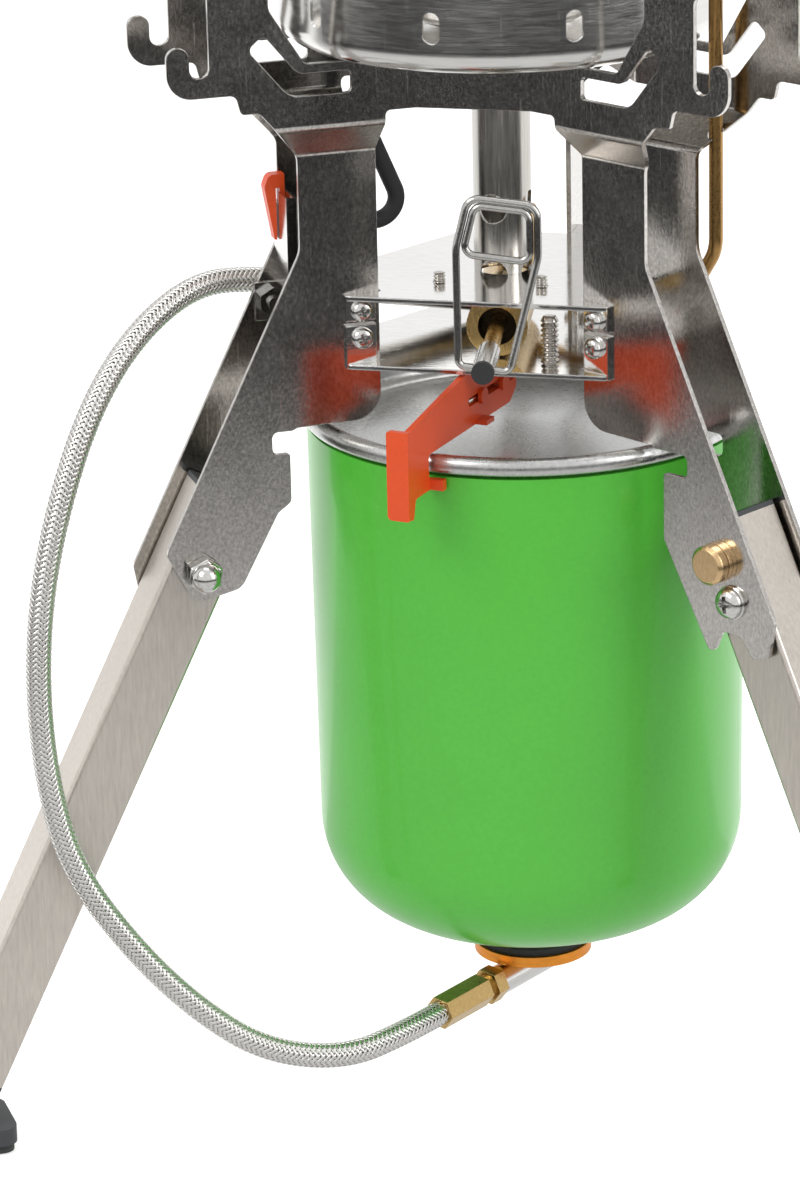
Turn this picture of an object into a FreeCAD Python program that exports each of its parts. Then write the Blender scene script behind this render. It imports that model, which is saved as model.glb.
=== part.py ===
"""Folding tripod camping stove with a hose-fed gas cartridge standing upside down between its legs.

Three identical bent side plates make the frame. Each leg channel lies between two plates.
Frame: origin on the floor under the burner axis, +Z up, the front plate faces -Y, millimetres.
"""
import FreeCAD, Part
import math
import os

Vec = FreeCAD.Vector
os.makedirs("parts", exist_ok=True)

# Frame layout: leg planes stand at these angles about the burner axis
left_leg = 210.0
right_leg = 330.0
back_leg = 90.0
leg_angles = {"left": left_leg, "right": right_leg, "back": back_leg}

# Side plates
sheet = 1.2
bend_inside = 1.5
chord_distance = 30.7
wing_bend = 30.0
wing_offset = 19.6
flange_offset = 10.0
pot_rest = 312.0
chord_bottom = pot_rest - 52.0
bowl_seat = pot_rest - 39.1
joggle_top = pot_rest - 55.0
joggle_bottom = pot_rest - 63.3
splay = 26.2
flange_inner = 34.9
arm_reach = 102.0
arm_inner = 47.0
arm_under = pot_rest - 18.3
arm_heel = 25.4
upright_inner = 63.0
upright_outer = 77.7
hook_gap = 4.8
hook_outer = 88.0
hook_bottom = pot_rest - 45.3
hook_tip = hook_bottom + 12.5
hook_gap_bottom = hook_bottom + 4.9
tooth_pitch = 7.0
tooth_depth = 1.6
window_inner = 43.2
window_bottom = chord_bottom + 5.2
window_width = 5.4
rim_ledge = 174.6
rim_slot = 5.6
tab_bottom = rim_ledge + 6.8
kink_share = 0.675
kink_height = rim_ledge + kink_share * (joggle_bottom - rim_ledge)

# Leg pivots and locks
pivot_radius = 81.2
pivot_height = 146.6
pivot_edge = 11.5
flange_outer = pivot_radius + pivot_edge - (kink_height - pivot_height) * math.tan(math.radians(splay))
bolt_radius = 2.5
running = 0.05
bolt_head_radius = 4.2
bolt_head_height = 3.2
nut_flats = 8.0
nut_hex_height = 4.0
washer_radius = 5.0
washer_thickness = 0.7
lock_distance = 10.2
lock_bush_radius = 4.9
lock_bush_height = 1.3
lock_bush_sleeve = 3.8
lock_pin_radius = 2.5
lock_knob_radius = 4.8
lock_knob_height = 3.0
lock_knob_chamfer = 0.8
lock_gap = 0.3

# Legs
leg_width = 15.6
leg_wall = 1.0
leg_corner = 1.2
leg_inside_corner = 0.4
plug_corner = 0.5
leg_stub = 18.6
leg_end_height = 20.1
leg_end = (pivot_height - leg_end_height) / math.cos(math.radians(splay))
plug_cap = 1.2
plug_depth = 6.0
foot_core_depth = 8.0
plug_play = 0.08
foot_length = 36.0
foot_width = 21.0
foot_heel_round = 4.0
foot_toe_round = 7.0
foot_base_height = 4.4
sole_height = 2.2
sole_inset = 0.8
foot_shift = 2.0

# Hub plates and their fasteners
hub_edge = 31.6
hub_across = 34.3
hub_tip = 1.0
hub_upper_top = 213.0
hub_lower_bottom = 194.6
ear_start = 36.0
ear_end = 43.6
ear_drop = 6.6
ear_rise = 10.8
hub_screw_radial = 39.6
hub_screw_upper = 209.0
hub_screw_lower = 202.2
screw_radius = 1.5
screw_head_radius = 2.6
screw_head_height = 2.0
screw_length = 4.0
stud_x = 12.7
stud_y = -14.9
stud_radius = 1.5
stud_rise = 3.4
stud_head_radius = 2.6
stud_head_height = 1.4
clamp_x = 15.7
clamp_y = -20.3
clamp_radius = 2.2
clamp_rise = 9.0
clamp_head_radius = 6.4
clamp_head_height = 2.2

# Burner
tube_radius = 7.15
tube_wall = 0.8
air_hole_radius = 3.6
air_hole_rise = 16.5
air_hole_start = 261.0
bowl_radius = 54.0
bowl_wall = 0.7
bowl_corner = 6.0
bowl_height = 30.1
bowl_rim = bowl_seat + bowl_height
bowl_lip = 1.6
bowl_hole_width = 4.2
bowl_hole_length = 7.4
bowl_hole_height = bowl_seat + 11.6
bowl_hole_count = 10
bowl_hole_start = 265.2
head_radius = 22.0
head_height = 15.0
head_wall = 1.0
head_crown = 1.5
head_ports = 24
head_port_radius = 1.1
tube_above_seat = 3.0

# Valve, spindle and wire handle
valve_angle = 277.4
valve_height = 203.7
valve_radius = 7.5
valve_front = 20.0
valve_back = 22.0
valve_recess_radius = 4.6
valve_recess_depth = 5.0
spindle_radius = 2.0
spindle_end = 48.0
spindle_grip = 8.0
spindle_play = 0.3
sleeve_radius = 2.7
sleeve_end = 59.0
sleeve_overlap = 6.0
cap_height = 1.6
wire_radius = 0.9
handle_pin = 56.5
handle_hole_depth = 2.0
handle_foot_half = 6.1
handle_waist_half = 9.7
handle_waist = 28.6
handle_top_half = 8.2
handle_top = 40.9
handle_tilt = 7.0
handle_bar = 27.2
handle_corner = 3.4
handle_foot_corner = 1.9
handle_waist_corner = 12.0

# Jet block and preheat tube
jet_block_x = -1.4
jet_block_y = 26.0
jet_block_radius = 4.2
jet_block_height = 9.0
jet_feed_radius = 2.6
jet_feed_lift = 0.4
jet_feed_gap = 0.2
preheat_radius = 1.7
preheat_offset = 13.6
preheat_start_offset = 15.6
preheat_upright = 56.6
preheat_over = bowl_rim + 6.4
preheat_low = hub_lower_bottom + 9.3
preheat_play = 0.3
preheat_low_turn = 42.0
preheat_rise = hub_upper_top + 11.0
port_radial = 4.0
port_length = 12.0
port_radius = 2.6

# Igniter, in the left leg channel
igniter_low = 212.2
igniter_high = 231.0
igniter_inner = 39.0
igniter_width = 9.2
holder_inner = 53.0
holder_depth = 2.6
holder_width = 12.2
holder_wall = 0.6
holder_low = 213.0
holder_high = 236.4
holder_notch = 233.4
holder_foot_inner = 45.0
holder_foot_outer = 61.0
holder_foot_low = 203.4
igniter_bolt_at = 57.0
igniter_bolt_height = 208.4
igniter_bolt_radius = 1.6
igniter_bolt_rise = 1.2
igniter_nut_flats = 6.6
igniter_nut_height = 2.6
button_reach = 58.8
button_low = 224.4
button_high = 240.6
button_bridge = 237.2
button_gap = 0.3
button_leg = 3.6
lead_radius = 2.1
lead_bend = (23.0, -4.2)
lead_bend_height = hub_upper_top + 0.234 * (bowl_seat - hub_upper_top)
electrode_place = (-30.5, -13.5)
lead_rise = hub_upper_top + 0.633 * (bowl_seat - hub_upper_top)
insulator_low = bowl_seat - 2.6
insulator_high = bowl_seat + 12.4
insulator_radius = 2.2
electrode_radius = 0.9
electrode_tip = 24.5
electrode_rise = 4.0

# Gas cartridge, rim upwards, pushed towards the back leg
can_x = 4.0
can_y = 5.2
can_rim_radius = 55.8
can_rim_height = 4.6
can_rim_gap = 0.1
can_wall_top = 54.5
can_wall_bottom = 53.5
can_knuckle = 26.6
can_knuckle_height = 70.7
can_crown_slope = 14.0
can_neck_radius = 12.2
can_neck_bottom = 35.6
can_base_depth = 9.0
can_base_dome = 3.4
can_base_ring = 12.0
can_skin = 0.6
can_wall = 0.8
can_rim_inside = 52.6
can_ledge = 2.0

# Coupling under the cartridge
coupling_angle = 246.5
seal_radius = 14.0
seal_height = 1.6
ring_radius = 15.0
ring_height = 2.7
coupling_stem_radius = 5.0
coupling_stem_low = 1.4
coupling_height = 27.0
coupling_radius = 3.9
coupling_reach = 17.0
coupling_tail = 6.5
nut_reach = 21.0
hose_nut_flats = 8.2
ferrule_neck = 23.0
ferrule_flats = 7.4
ferrule_reach = 41.0
ferrule_neck_radius = 3.0

# Braided hose and its upper end, which runs beside the left leg channel
hose_radius = 3.15
hose_bend_share = 0.45
inlet_offset = -19.5
inlet_base = 200.95
inlet_tilt = 10.0
inlet_start = 0.5
inlet_joint = 33.0
inlet_reach = 46.0
inlet_radius = 4.0
hose_lower_run = 14.0
hose_upper_run = 13.0
hose_free_points = [
    (-30.0, -59.3, 25.0),
    (-48.0, -68.5, 29.5),
    (-63.5, -73.5, 41.5),
    (-78.0, -76.5, 57.0),
    (-92.5, -78.3, 78.0),
    (-97.8, -78.6, 100.0),
    (-99.5, -78.3, 124.0),
    (-98.3, -75.5, 148.0),
    (-94.5, -69.0, 170.0),
    (-89.5, -57.0, 190.0),
    (-82.5, -41.0, 204.0),
    (-72.0, -24.5, 212.5),
]

# Rim latch, a painted sheet that slides outwards in a vertical plane
latch_angle = 258.0
latch_offset = 2.3
latch_sheet = 1.5
latch_top = 194.0
latch_root = 0.0
latch_shoulder = 30.0
latch_end = 61.5
latch_end_top = 188.7
latch_handle_bottom = 166.6
latch_handle_width = 4.2
latch_slot_low = 185.4
latch_slot_width = 2.2
latch_slot_inner = 1.0
latch_slot_outer = 28.4
latch_pin_radius = 1.05
latch_pin_places = (8.6, 21.0)
latch_jaw_gap = 0.8
latch_jaw_clear = 0.5
latch_jaw_height = 2.6
latch_rim_clear = 1.6
latch_jaw_tab = (2.0, 3.4)
latch_stop_tab = (4.4, 3.0, 1.2)
latch_stop_at = 20.0
latch_pin_head = (2.0, 1.0)
guide_play = 0.1
guide_wall = 1.2
guide_flange = 7.0
guide_start = 3.0
guide_end = 25.0
guide_wire_radius = 0.6


# General helpers

def rounded_face(corners, place):
    """Face of a closed outline. Each corner is (a, b, radius), mapped to space by place(a, b)."""
    count = len(corners)
    starts, arcs = [], []
    for index, (a, b, radius) in enumerate(corners):
        point = Vec(a, b, 0)
        before = Vec(*corners[index - 1][:2], 0) - point
        after = Vec(*corners[(index + 1) % count][:2], 0) - point
        before.normalize()
        after.normalize()
        half = before.getAngle(after) / 2
        if radius <= 0:
            starts.append((point, point))
            arcs.append(None)
            continue
        reach = radius / math.tan(half)
        middle = before + after
        middle.normalize()
        crown = point + middle * (radius / math.sin(half) - radius)
        starts.append((point + before * reach, point + after * reach))
        arcs.append(crown)
    edges = []
    for index in range(count):
        enter, leave = starts[index]
        if arcs[index] is not None:
            bow = [place(p.x, p.y) for p in (enter, arcs[index], leave)]
            edges.append(Part.Arc(*bow).toShape())
        following = starts[(index + 1) % count][0]
        if leave.distanceToPoint(following) > 1e-6:
            edges.append(Part.makeLine(place(leave.x, leave.y), place(following.x, following.y)))
    return Part.Face(Part.Wire(edges))


def in_radial_plane(a, b):
    return Vec(a, 0, b)


def in_floor_plane(a, b):
    return Vec(a, b, 0)


def across_channel(a, b):
    return Vec(0, a, b)


def turned(shape, angle):
    """Copy of a shape turned about the burner axis."""
    copy = shape.copy()
    copy.rotate(Vec(0, 0, 0), Vec(0, 0, 1), angle)
    return copy


def placed(radial, side, height, angle):
    """Point given in a leg channel's own directions: outwards, sideways and up."""
    a = math.radians(angle)
    return Vec(radial * math.cos(a) - side * math.sin(a), radial * math.sin(a) + side * math.cos(a), height)


def rod(start, end, radius):
    return Part.makeCylinder(radius, start.distanceToPoint(end), start, end - start)


def hex_rod(start, end, flats, turn=0.0):
    """Hexagonal bar between two points, flats given across."""
    corner = flats / math.sqrt(3)
    points = [placed(corner, 0, 0, 60 * k + turn) for k in range(7)]
    bar = Part.Face(Part.makePolygon(points)).extrude(Vec(0, 0, start.distanceToPoint(end)))
    bar.Placement = FreeCAD.Placement(start, FreeCAD.Rotation(Vec(0, 0, 1), end - start))
    return bar


def bent_path(points, radii):
    """Wire of straight runs joined by tangent arcs, one radius for each inner point."""
    edges = []
    last = points[0]
    for index in range(1, len(points) - 1):
        corner = points[index]
        before = (points[index - 1] - corner).normalize()
        after = (points[index + 1] - corner).normalize()
        half = before.getAngle(after) / 2
        radius = radii[index - 1]
        reach = radius / math.tan(half)
        enter = corner + before * reach
        leave = corner + after * reach
        middle = (before + after).normalize()
        crown = corner + middle * (radius / math.sin(half) - radius)
        edges.append(Part.makeLine(last, enter))
        edges.append(Part.Arc(enter, crown, leave).toShape())
        last = leave
    edges.append(Part.makeLine(last, points[-1]))
    return Part.Wire(edges)


def tube_along(path, radius):
    """Round bar swept along a bent path."""
    start = path.Edges[0]
    direction = start.tangentAt(start.FirstParameter)
    profile = Part.Wire(Part.makeCircle(radius, start.Vertexes[0].Point, direction))
    sweep = Part.BRepOffsetAPI.MakePipeShell(path)
    sweep.add(profile)
    sweep.build()
    sweep.makeSolid()
    return sweep.shape()


def keep(name, shape):
    shape.exportStep("parts/" + name + ".step")


# Side plates: wings, joggle and leg flanges, one bent sheet each

def sheet_strip(side):
    """Cross-section of wing, joggle and flange, run outwards through the whole channel depth."""
    lean = math.atan2(wing_offset - flange_offset, joggle_top - joggle_bottom)
    lift = sheet * math.tan(lean / 2)
    outside = bend_inside + sheet
    top = pot_rest + 10
    bottom = pivot_height - 40
    corners = [
        (wing_offset, top, 0), (wing_offset, joggle_top, outside), (flange_offset, joggle_bottom, bend_inside),
        (flange_offset, bottom, 0), (flange_offset - sheet, bottom, 0),
        (flange_offset - sheet, joggle_bottom + lift, outside),
        (wing_offset - sheet, joggle_top + lift, bend_inside), (wing_offset - sheet, top, 0),
    ]
    face = rounded_face([(side * a, b, r) for a, b, r in corners], across_channel)
    strip = face.extrude(Vec(arm_reach + 20, 0, 0))
    strip.translate(Vec(wing_start, 0, 0))
    return strip


def splayed(height):
    """Radius of the flange's outer edge at a height below the kink."""
    return flange_outer + (kink_height - height) * math.tan(math.radians(splay))


wing_start = 33.5
slope_top = hook_bottom - 4.8
nose_bottom = pivot_height - 12.0

nut_side_end = [
    (58.2, rim_ledge, 0.8), (58.2, rim_ledge - 12.4, 2.0), (61.6, rim_ledge - 14.8, 2.5),
    (pivot_radius - 9.8, pivot_height - 5.0, 4.0), (pivot_radius + 2.0, pivot_height - 7.8, 4.0),
    (splayed(pivot_height + 5.4), pivot_height + 5.4, 3.0),
]
lock_side_end = [
    (59.9, rim_ledge, 0.8), (59.9, rim_ledge - 16.6, 2.0), (pivot_radius - 6.4, nose_bottom - 3.2, 1.4),
    (pivot_radius - 3.2, pivot_height - 8.0, 2.4), (pivot_radius + 2.6, pivot_height - 8.2, 3.2),
    (pivot_radius + 6.4, nose_bottom - 1.2, 1.6), (pivot_radius + 11.1, nose_bottom, 1.6),
    (splayed(pivot_height - 2.6), pivot_height - 2.6, 3.0),
]


def plate_outline(lower_end, slot_depth):
    """Flat outline of one half of a side plate, outwards against height."""
    slot_top = rim_ledge + rim_slot
    slot_end = lower_end[0][0] + slot_depth
    hook_inner = upright_outer + hook_gap
    teeth = []
    tooth = arm_inner + 6.0
    while tooth < arm_reach - 6.0:
        notch = [(tooth + tooth_depth, pot_rest, 0), (tooth, pot_rest - tooth_depth, 0.5)]
        teeth = notch + [(tooth - tooth_depth, pot_rest, 0)] + teeth
        tooth += tooth_pitch
    return [
        (wing_start, chord_bottom, 0), (flange_inner, chord_bottom, 1.3), (flange_inner, tab_bottom, 7.0),
        (56.2, tab_bottom - 0.6, 1.0), (57.4, slot_top, 0.6), (slot_end, slot_top, 1.6),
        (slot_end, rim_ledge, 1.6),
        *lower_end,
        (flange_outer, kink_height, 8.0), (flange_outer, joggle_bottom - 0.5, 4.0),
        (upright_outer - 11.9, slope_top, 2.0), (upright_outer - 7.4, slope_top, 1.2),
        (upright_outer - 6.2, hook_bottom, 2.0), (hook_outer, hook_bottom, 6.0),
        (hook_outer, hook_tip, 2.6), (hook_inner, hook_tip, 2.6), (hook_inner, hook_gap_bottom, 2.3),
        (upright_outer, hook_gap_bottom, 2.3), (upright_outer, arm_under, 2.5),
        (arm_reach - 4.0, arm_under + 6.0, 5.0), (arm_reach, pot_rest, 1.5),
        *teeth,
        (arm_inner, pot_rest, 1.5), (arm_inner + 1.0, pot_rest - 5.0, 2.0),
        (upright_inner, pot_rest - 9.0, 5.0), (upright_inner, pot_rest - arm_heel, 4.0),
        (bowl_radius + 0.4, bowl_seat, 2.0), (wing_start, bowl_seat, 0),
    ]


def wing_window():
    """Slot in a wing: a level arm, then a slanting arm towards the hook."""
    top = window_bottom + window_width
    return [
        (window_inner, window_bottom, 1.3), (window_inner + 15.0, window_bottom, 5.0),
        (window_inner + 25.1, window_bottom + 12.1, 1.6), (window_inner + 21.2, window_bottom + 15.4, 1.6),
        (window_inner + 13.0, top, 3.5), (window_inner, top, 1.3),
    ]


def cross_cut(face):
    """Cutter through a whole channel from a face drawn in its radial plane."""
    cutter = face.extrude(Vec(0, 4 * wing_offset, 0))
    cutter.translate(Vec(0, -2 * wing_offset, 0))
    return cutter


def cross_hole(radial, height, radius):
    reach = 2 * wing_offset
    return Part.makeCylinder(radius, 2 * reach, Vec(radial, -reach, height), Vec(0, 1, 0))


def lock_place():
    lean = math.radians(splay)
    return pivot_radius - lock_distance * math.sin(lean), pivot_height + lock_distance * math.cos(lean)


def half_plate(angle, side):
    lower_end, slot_depth = (nut_side_end, 4.4) if side > 0 else (lock_side_end, 7.4)
    outline = cross_cut(rounded_face(plate_outline(lower_end, slot_depth), in_radial_plane))
    half = sheet_strip(side).common(outline)
    half = half.cut(cross_cut(rounded_face(wing_window(), in_radial_plane)))
    half = half.cut(cross_hole(pivot_radius, pivot_height, bolt_radius + running))
    for height in (hub_screw_upper, hub_screw_lower):
        half = half.cut(cross_hole(hub_screw_radial, height, screw_radius + running))
    if side < 0:
        lock_radial, lock_height = lock_place()
        half = half.cut(cross_hole(lock_radial, lock_height, lock_bush_sleeve + running))
    if side > 0 and angle == right_leg:
        passage = Vec(preheat_upright, preheat_offset, 0)
        half = half.cut(Part.makeCylinder(preheat_radius + preheat_play, pot_rest, passage))
    if side < 0 and angle == left_leg:
        half = half.cut(cross_hole(igniter_bolt_at, igniter_bolt_height, igniter_bolt_radius + running))
    return turned(half, angle)


def chord_strip():
    """Middle of the front plate: the chord under the bowl and the two upright bends into the wings."""
    def wing_point(radial, offset):
        return placed(radial, -offset, 0, right_leg)
    outer_end = wing_point(wing_start + 0.4, wing_offset)
    inner_end = wing_point(wing_start + 0.4, wing_offset - sheet)
    bend = math.radians(wing_bend)
    inner_distance = chord_distance - sheet
    outer_half = (chord_distance * math.cos(bend) - wing_offset) / math.sin(bend)
    inner_half = (inner_distance * math.cos(bend) - wing_offset + sheet) / math.sin(bend)
    outside = bend_inside + sheet
    corners = [
        (-outer_end.x, outer_end.y, 0), (-outer_half, -chord_distance, bend_inside),
        (outer_half, -chord_distance, bend_inside), (outer_end.x, outer_end.y, 0),
        (inner_end.x, inner_end.y, 0), (inner_half, -inner_distance, outside),
        (-inner_half, -inner_distance, outside), (-inner_end.x, inner_end.y, 0),
    ]
    strip = rounded_face(corners, in_floor_plane).extrude(Vec(0, 0, bowl_seat - chord_bottom))
    strip.translate(Vec(0, 0, chord_bottom))
    return strip


def side_plate(turn):
    angles = [(left_leg + turn) % 360, (right_leg + turn) % 360]
    plate = turned(chord_strip(), turn)
    plate = plate.fuse([half_plate(angles[0], 1), half_plate(angles[1], -1)])
    return plate.removeSplitter()


keep("side_plate_front", side_plate(0))
keep("side_plate_right", side_plate(120))
keep("side_plate_left", side_plate(240))


# Hub: two polished plates with ears screwed to the outside of the leg flanges

def hub_outline():
    """Outline of a hub plate: three long edges, drawn in between each channel's flanges."""
    corners = []
    for angle in (right_leg, back_leg, left_leg):
        edge_cut = (hub_edge - flange_offset * math.sin(math.pi / 3)) / math.cos(math.pi / 3)
        steps = ((edge_cut, -1, hub_tip), (hub_across, -1, 0.6), (hub_across, 1, 0.6), (edge_cut, 1, hub_tip))
        for radial, side, radius in steps:
            point = placed(radial, side * flange_offset, 0, angle)
            corners.append((point.x, point.y, radius))
    return corners


def hub_plate(bottom, ear_low, ear_high, screw_height, holes):
    """Sheet with two ears at each leg channel and round holes, each given as (x, y, radius)."""
    plate = rounded_face(hub_outline(), in_floor_plane).extrude(Vec(0, 0, sheet))
    plate.translate(Vec(0, 0, bottom))
    for angle in leg_angles.values():
        for side in (-1, 1):
            start = flange_offset if side > 0 else -flange_offset - sheet
            ear = Part.makeBox(ear_end - ear_start, sheet, ear_high - ear_low, Vec(ear_start, start, ear_low))
            ear = ear.cut(cross_hole(hub_screw_radial, screw_height, screw_radius + running))
            plate = plate.fuse(turned(ear, angle))
    for x, y, radius in holes:
        plate = plate.cut(Part.makeCylinder(radius, 4 * sheet, Vec(x, y, bottom - sheet)))
    return plate.removeSplitter()


hub_upper_bottom = hub_upper_top - sheet
upper_holes = [(x, stud_y, stud_radius + running) for x in (-stud_x, stud_x)]
upper_holes.append((0, 0, tube_radius - tube_wall))
upper_ear = hub_upper_top - ear_drop
keep("hub_upper_plate", hub_plate(hub_upper_bottom, upper_ear, hub_upper_top, hub_screw_upper, upper_holes))
lower_holes = [(clamp_x, clamp_y, clamp_radius + running)]
lower_ear = hub_lower_bottom + ear_rise
keep("hub_lower_plate", hub_plate(hub_lower_bottom, hub_lower_bottom, lower_ear, hub_screw_lower, lower_holes))

hub_screws = []
for angle in leg_angles.values():
    for side in (-1, 1):
        for height in (hub_screw_upper, hub_screw_lower):
            face = side * (flange_offset + sheet)
            seat = placed(hub_screw_radial, face, height, angle)
            tip = placed(hub_screw_radial, face - side * screw_length, height, angle)
            crown = placed(hub_screw_radial, face + side * screw_head_height, height, angle)
            shank = rod(tip, seat, screw_radius)
            hub_screws.append(shank.fuse(rod(seat, crown, screw_head_radius)).removeSplitter())
keep("hub_screws", Part.makeCompound(hub_screws))

studs = []
for x in (-stud_x, stud_x):
    seat = Vec(x, stud_y, hub_upper_bottom)
    shank = rod(seat, seat + Vec(0, 0, sheet + stud_rise), stud_radius)
    flange = rod(seat - Vec(0, 0, stud_head_height), seat, stud_head_radius)
    studs.append(shank.fuse(flange).removeSplitter())
keep("hub_studs", Part.makeCompound(studs))

clamp_seat = Vec(clamp_x, clamp_y, hub_lower_bottom)
clamp_shank = rod(clamp_seat, clamp_seat + Vec(0, 0, sheet + clamp_rise), clamp_radius)
clamp_head = rod(clamp_seat - Vec(0, 0, clamp_head_height), clamp_seat, clamp_head_radius)
keep("clamp_screw", clamp_shank.fuse(clamp_head).removeSplitter())


# Burner tube: a plain pipe with round air holes, standing on the upper hub plate

tube_top = bowl_seat + bowl_wall + tube_above_seat
burner_tube = Part.makeCylinder(tube_radius, tube_top - hub_upper_top, Vec(0, 0, hub_upper_top))
burner_tube = burner_tube.cut(Part.makeCylinder(tube_radius - tube_wall, tube_top, Vec(0, 0, hub_upper_top)))
feed_side = 2
for k in range(4):
    outwards = placed(2 * tube_radius, 0, 0, air_hole_start + 90 * k)
    upper_hole = hub_upper_top + air_hole_rise
    heights = [upper_hole] if k == feed_side else [upper_hole, hub_upper_top]
    for height in heights:
        middle = Vec(0, 0, height)
        burner_tube = burner_tube.cut(rod(middle, middle + outwards, air_hole_radius))
keep("burner_tube", burner_tube)


# Burner bowl: a spun cup resting on the chords of the three side plates

bowl_profile = [
    (tube_radius + running, bowl_seat, 0), (bowl_radius, bowl_seat, bowl_corner), (bowl_radius, bowl_rim, 0),
    (bowl_radius + bowl_lip, bowl_rim, 0), (bowl_radius + bowl_lip, bowl_rim + bowl_wall, 0),
    (bowl_radius - bowl_wall, bowl_rim + bowl_wall, 0),
    (bowl_radius - bowl_wall, bowl_seat + bowl_wall, bowl_corner - bowl_wall),
    (tube_radius + running, bowl_seat + bowl_wall, 0),
]
bowl = rounded_face(bowl_profile, in_radial_plane).revolve(Vec(0, 0, 0), Vec(0, 0, 1), 360)
half_slot = bowl_hole_length / 2
slot_corners = [(-bowl_hole_width / 2, -half_slot), (bowl_hole_width / 2, -half_slot),
                (bowl_hole_width / 2, half_slot), (-bowl_hole_width / 2, half_slot)]
slot_round = bowl_hole_width / 2 - 0.01
slot_face = rounded_face([(a, b + bowl_hole_height, slot_round) for a, b in slot_corners], across_channel)
slot_cutter = slot_face.extrude(Vec(2 * bowl_corner, 0, 0))
slot_cutter.translate(Vec(bowl_radius - bowl_corner, 0, 0))
for k in range(bowl_hole_count):
    bowl = bowl.cut(turned(slot_cutter, bowl_hole_start + 360 / bowl_hole_count * k))
below_bowl = bowl_seat - bowl_wall
through = 4 * bowl_wall
preheat_place = Vec(jet_block_x, jet_block_y, below_bowl)
preheat_hole = Part.makeCylinder(preheat_radius + preheat_play, through, preheat_place)
electrode_hole = Part.makeCylinder(insulator_radius + running, through, Vec(*electrode_place, below_bowl))
keep("burner_bowl", bowl.cut(preheat_hole).cut(electrode_hole))


# Burner head: a shallow drum on the tube with flame ports round its side

head_base = tube_top
head_edge = head_base + head_height
head_inside = head_radius - head_wall
head_profile = [
    (tube_radius - tube_wall, head_base, 0), (head_radius, head_base, 2.0), (head_radius, head_edge, 3.0),
    (0, head_edge + head_crown, 0), (0, head_edge + head_crown - head_wall, 0),
    (head_inside, head_edge - head_wall, 2.0), (head_inside, head_base + head_wall, 1.0),
    (tube_radius - tube_wall, head_base + head_wall, 0),
]
head = rounded_face(head_profile, in_radial_plane).revolve(Vec(0, 0, 0), Vec(0, 0, 1), 360)
for k in range(head_ports):
    port_start = Vec(0, 0, head_base + head_height / 2)
    port_end = port_start + placed(2 * head_radius, 0, 0, 360 / head_ports * k)
    head = head.cut(rod(port_start, port_end, head_port_radius))
keep("burner_head", head)


# Valve: a brass barrel lying between the hub plates, its spindle and sleeve pointing to the front

def along_valve(distance, side=0.0, lift=0.0):
    return placed(distance, side, valve_height + lift, valve_angle)


barrel = rod(along_valve(-valve_back), along_valve(valve_front), valve_radius)
recess_floor = valve_front - valve_recess_depth
barrel = barrel.cut(rod(along_valve(recess_floor), along_valve(valve_front + 1), valve_recess_radius))
spindle_root = recess_floor - spindle_grip
spindle_bore = rod(along_valve(spindle_root - spindle_play), along_valve(valve_front), spindle_radius + running)
barrel = barrel.cut(spindle_bore)
spindle = rod(along_valve(spindle_root), along_valve(spindle_end), spindle_radius)
keep("valve_spindle", spindle)

sleeve_start = spindle_end - sleeve_overlap
sleeve = rod(along_valve(sleeve_start), along_valve(sleeve_end), sleeve_radius)
sleeve = sleeve.cut(rod(along_valve(sleeve_start - 1), along_valve(spindle_end), spindle_radius))
hole_reach = 2 * sleeve_radius
hole_start = along_valve(handle_pin, -hole_reach)
wire_hole = rod(hole_start, along_valve(handle_pin, hole_reach), wire_radius + running)
tilt_axis = placed(-1, 0, 0, valve_angle)
wire_hole.rotate(along_valve(handle_pin), tilt_axis, handle_tilt)
keep("spindle_sleeve", sleeve.cut(wire_hole))

cap = rod(along_valve(sleeve_end), along_valve(sleeve_end + cap_height), sleeve_radius)
keep("spindle_cap", cap)


# Wire handle: one bent loop with a smaller loop inside its upper half, folded upwards

def on_handle(across, up):
    return along_valve(handle_pin, -across, up)


wire_end = sleeve_radius - handle_hole_depth
loop_points = [
    on_handle(-wire_end, 0), on_handle(-handle_foot_half, 0), on_handle(-handle_waist_half, handle_waist),
    on_handle(-handle_top_half, handle_top), on_handle(handle_top_half, handle_top),
    on_handle(handle_waist_half, handle_waist), on_handle(handle_foot_half, 0), on_handle(wire_end, 0),
]
loop_radii = [handle_foot_corner, handle_waist_corner, handle_corner]
outer_loop = tube_along(bent_path(loop_points, loop_radii + loop_radii[::-1]), wire_radius)
nest = 1.9 * wire_radius
inner_top = handle_top - nest
inner_top_half = handle_top_half - nest
inner_waist_half = handle_waist_half - nest
inner_points = [
    on_handle(0, inner_top), on_handle(-inner_top_half, inner_top), on_handle(-inner_waist_half, handle_bar),
    on_handle(inner_waist_half, handle_bar), on_handle(inner_top_half, inner_top), on_handle(0, inner_top),
]
inner_loop = tube_along(bent_path(inner_points, [handle_corner - wire_radius] * 4), wire_radius)
handle = outer_loop.fuse(inner_loop)
handle.rotate(along_valve(handle_pin), tilt_axis, handle_tilt)
keep("wire_handle", handle)


# Jet block behind the burner tube, and the preheat tube that runs through the flame to it

block_base = Part.makeCylinder(jet_block_radius, jet_block_height, Vec(jet_block_x, jet_block_y, hub_upper_top))
feed_height = hub_upper_top + jet_feed_radius + jet_feed_lift
feed_end = Vec(jet_block_x, jet_block_y, feed_height)
feed = rod(Vec(0, tube_radius + jet_feed_gap, feed_height), feed_end, jet_feed_radius)
preheat_end = Vec(jet_block_x, jet_block_y, hub_upper_top + jet_block_height)
keep("jet_block", block_base.fuse(feed).removeSplitter())

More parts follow.
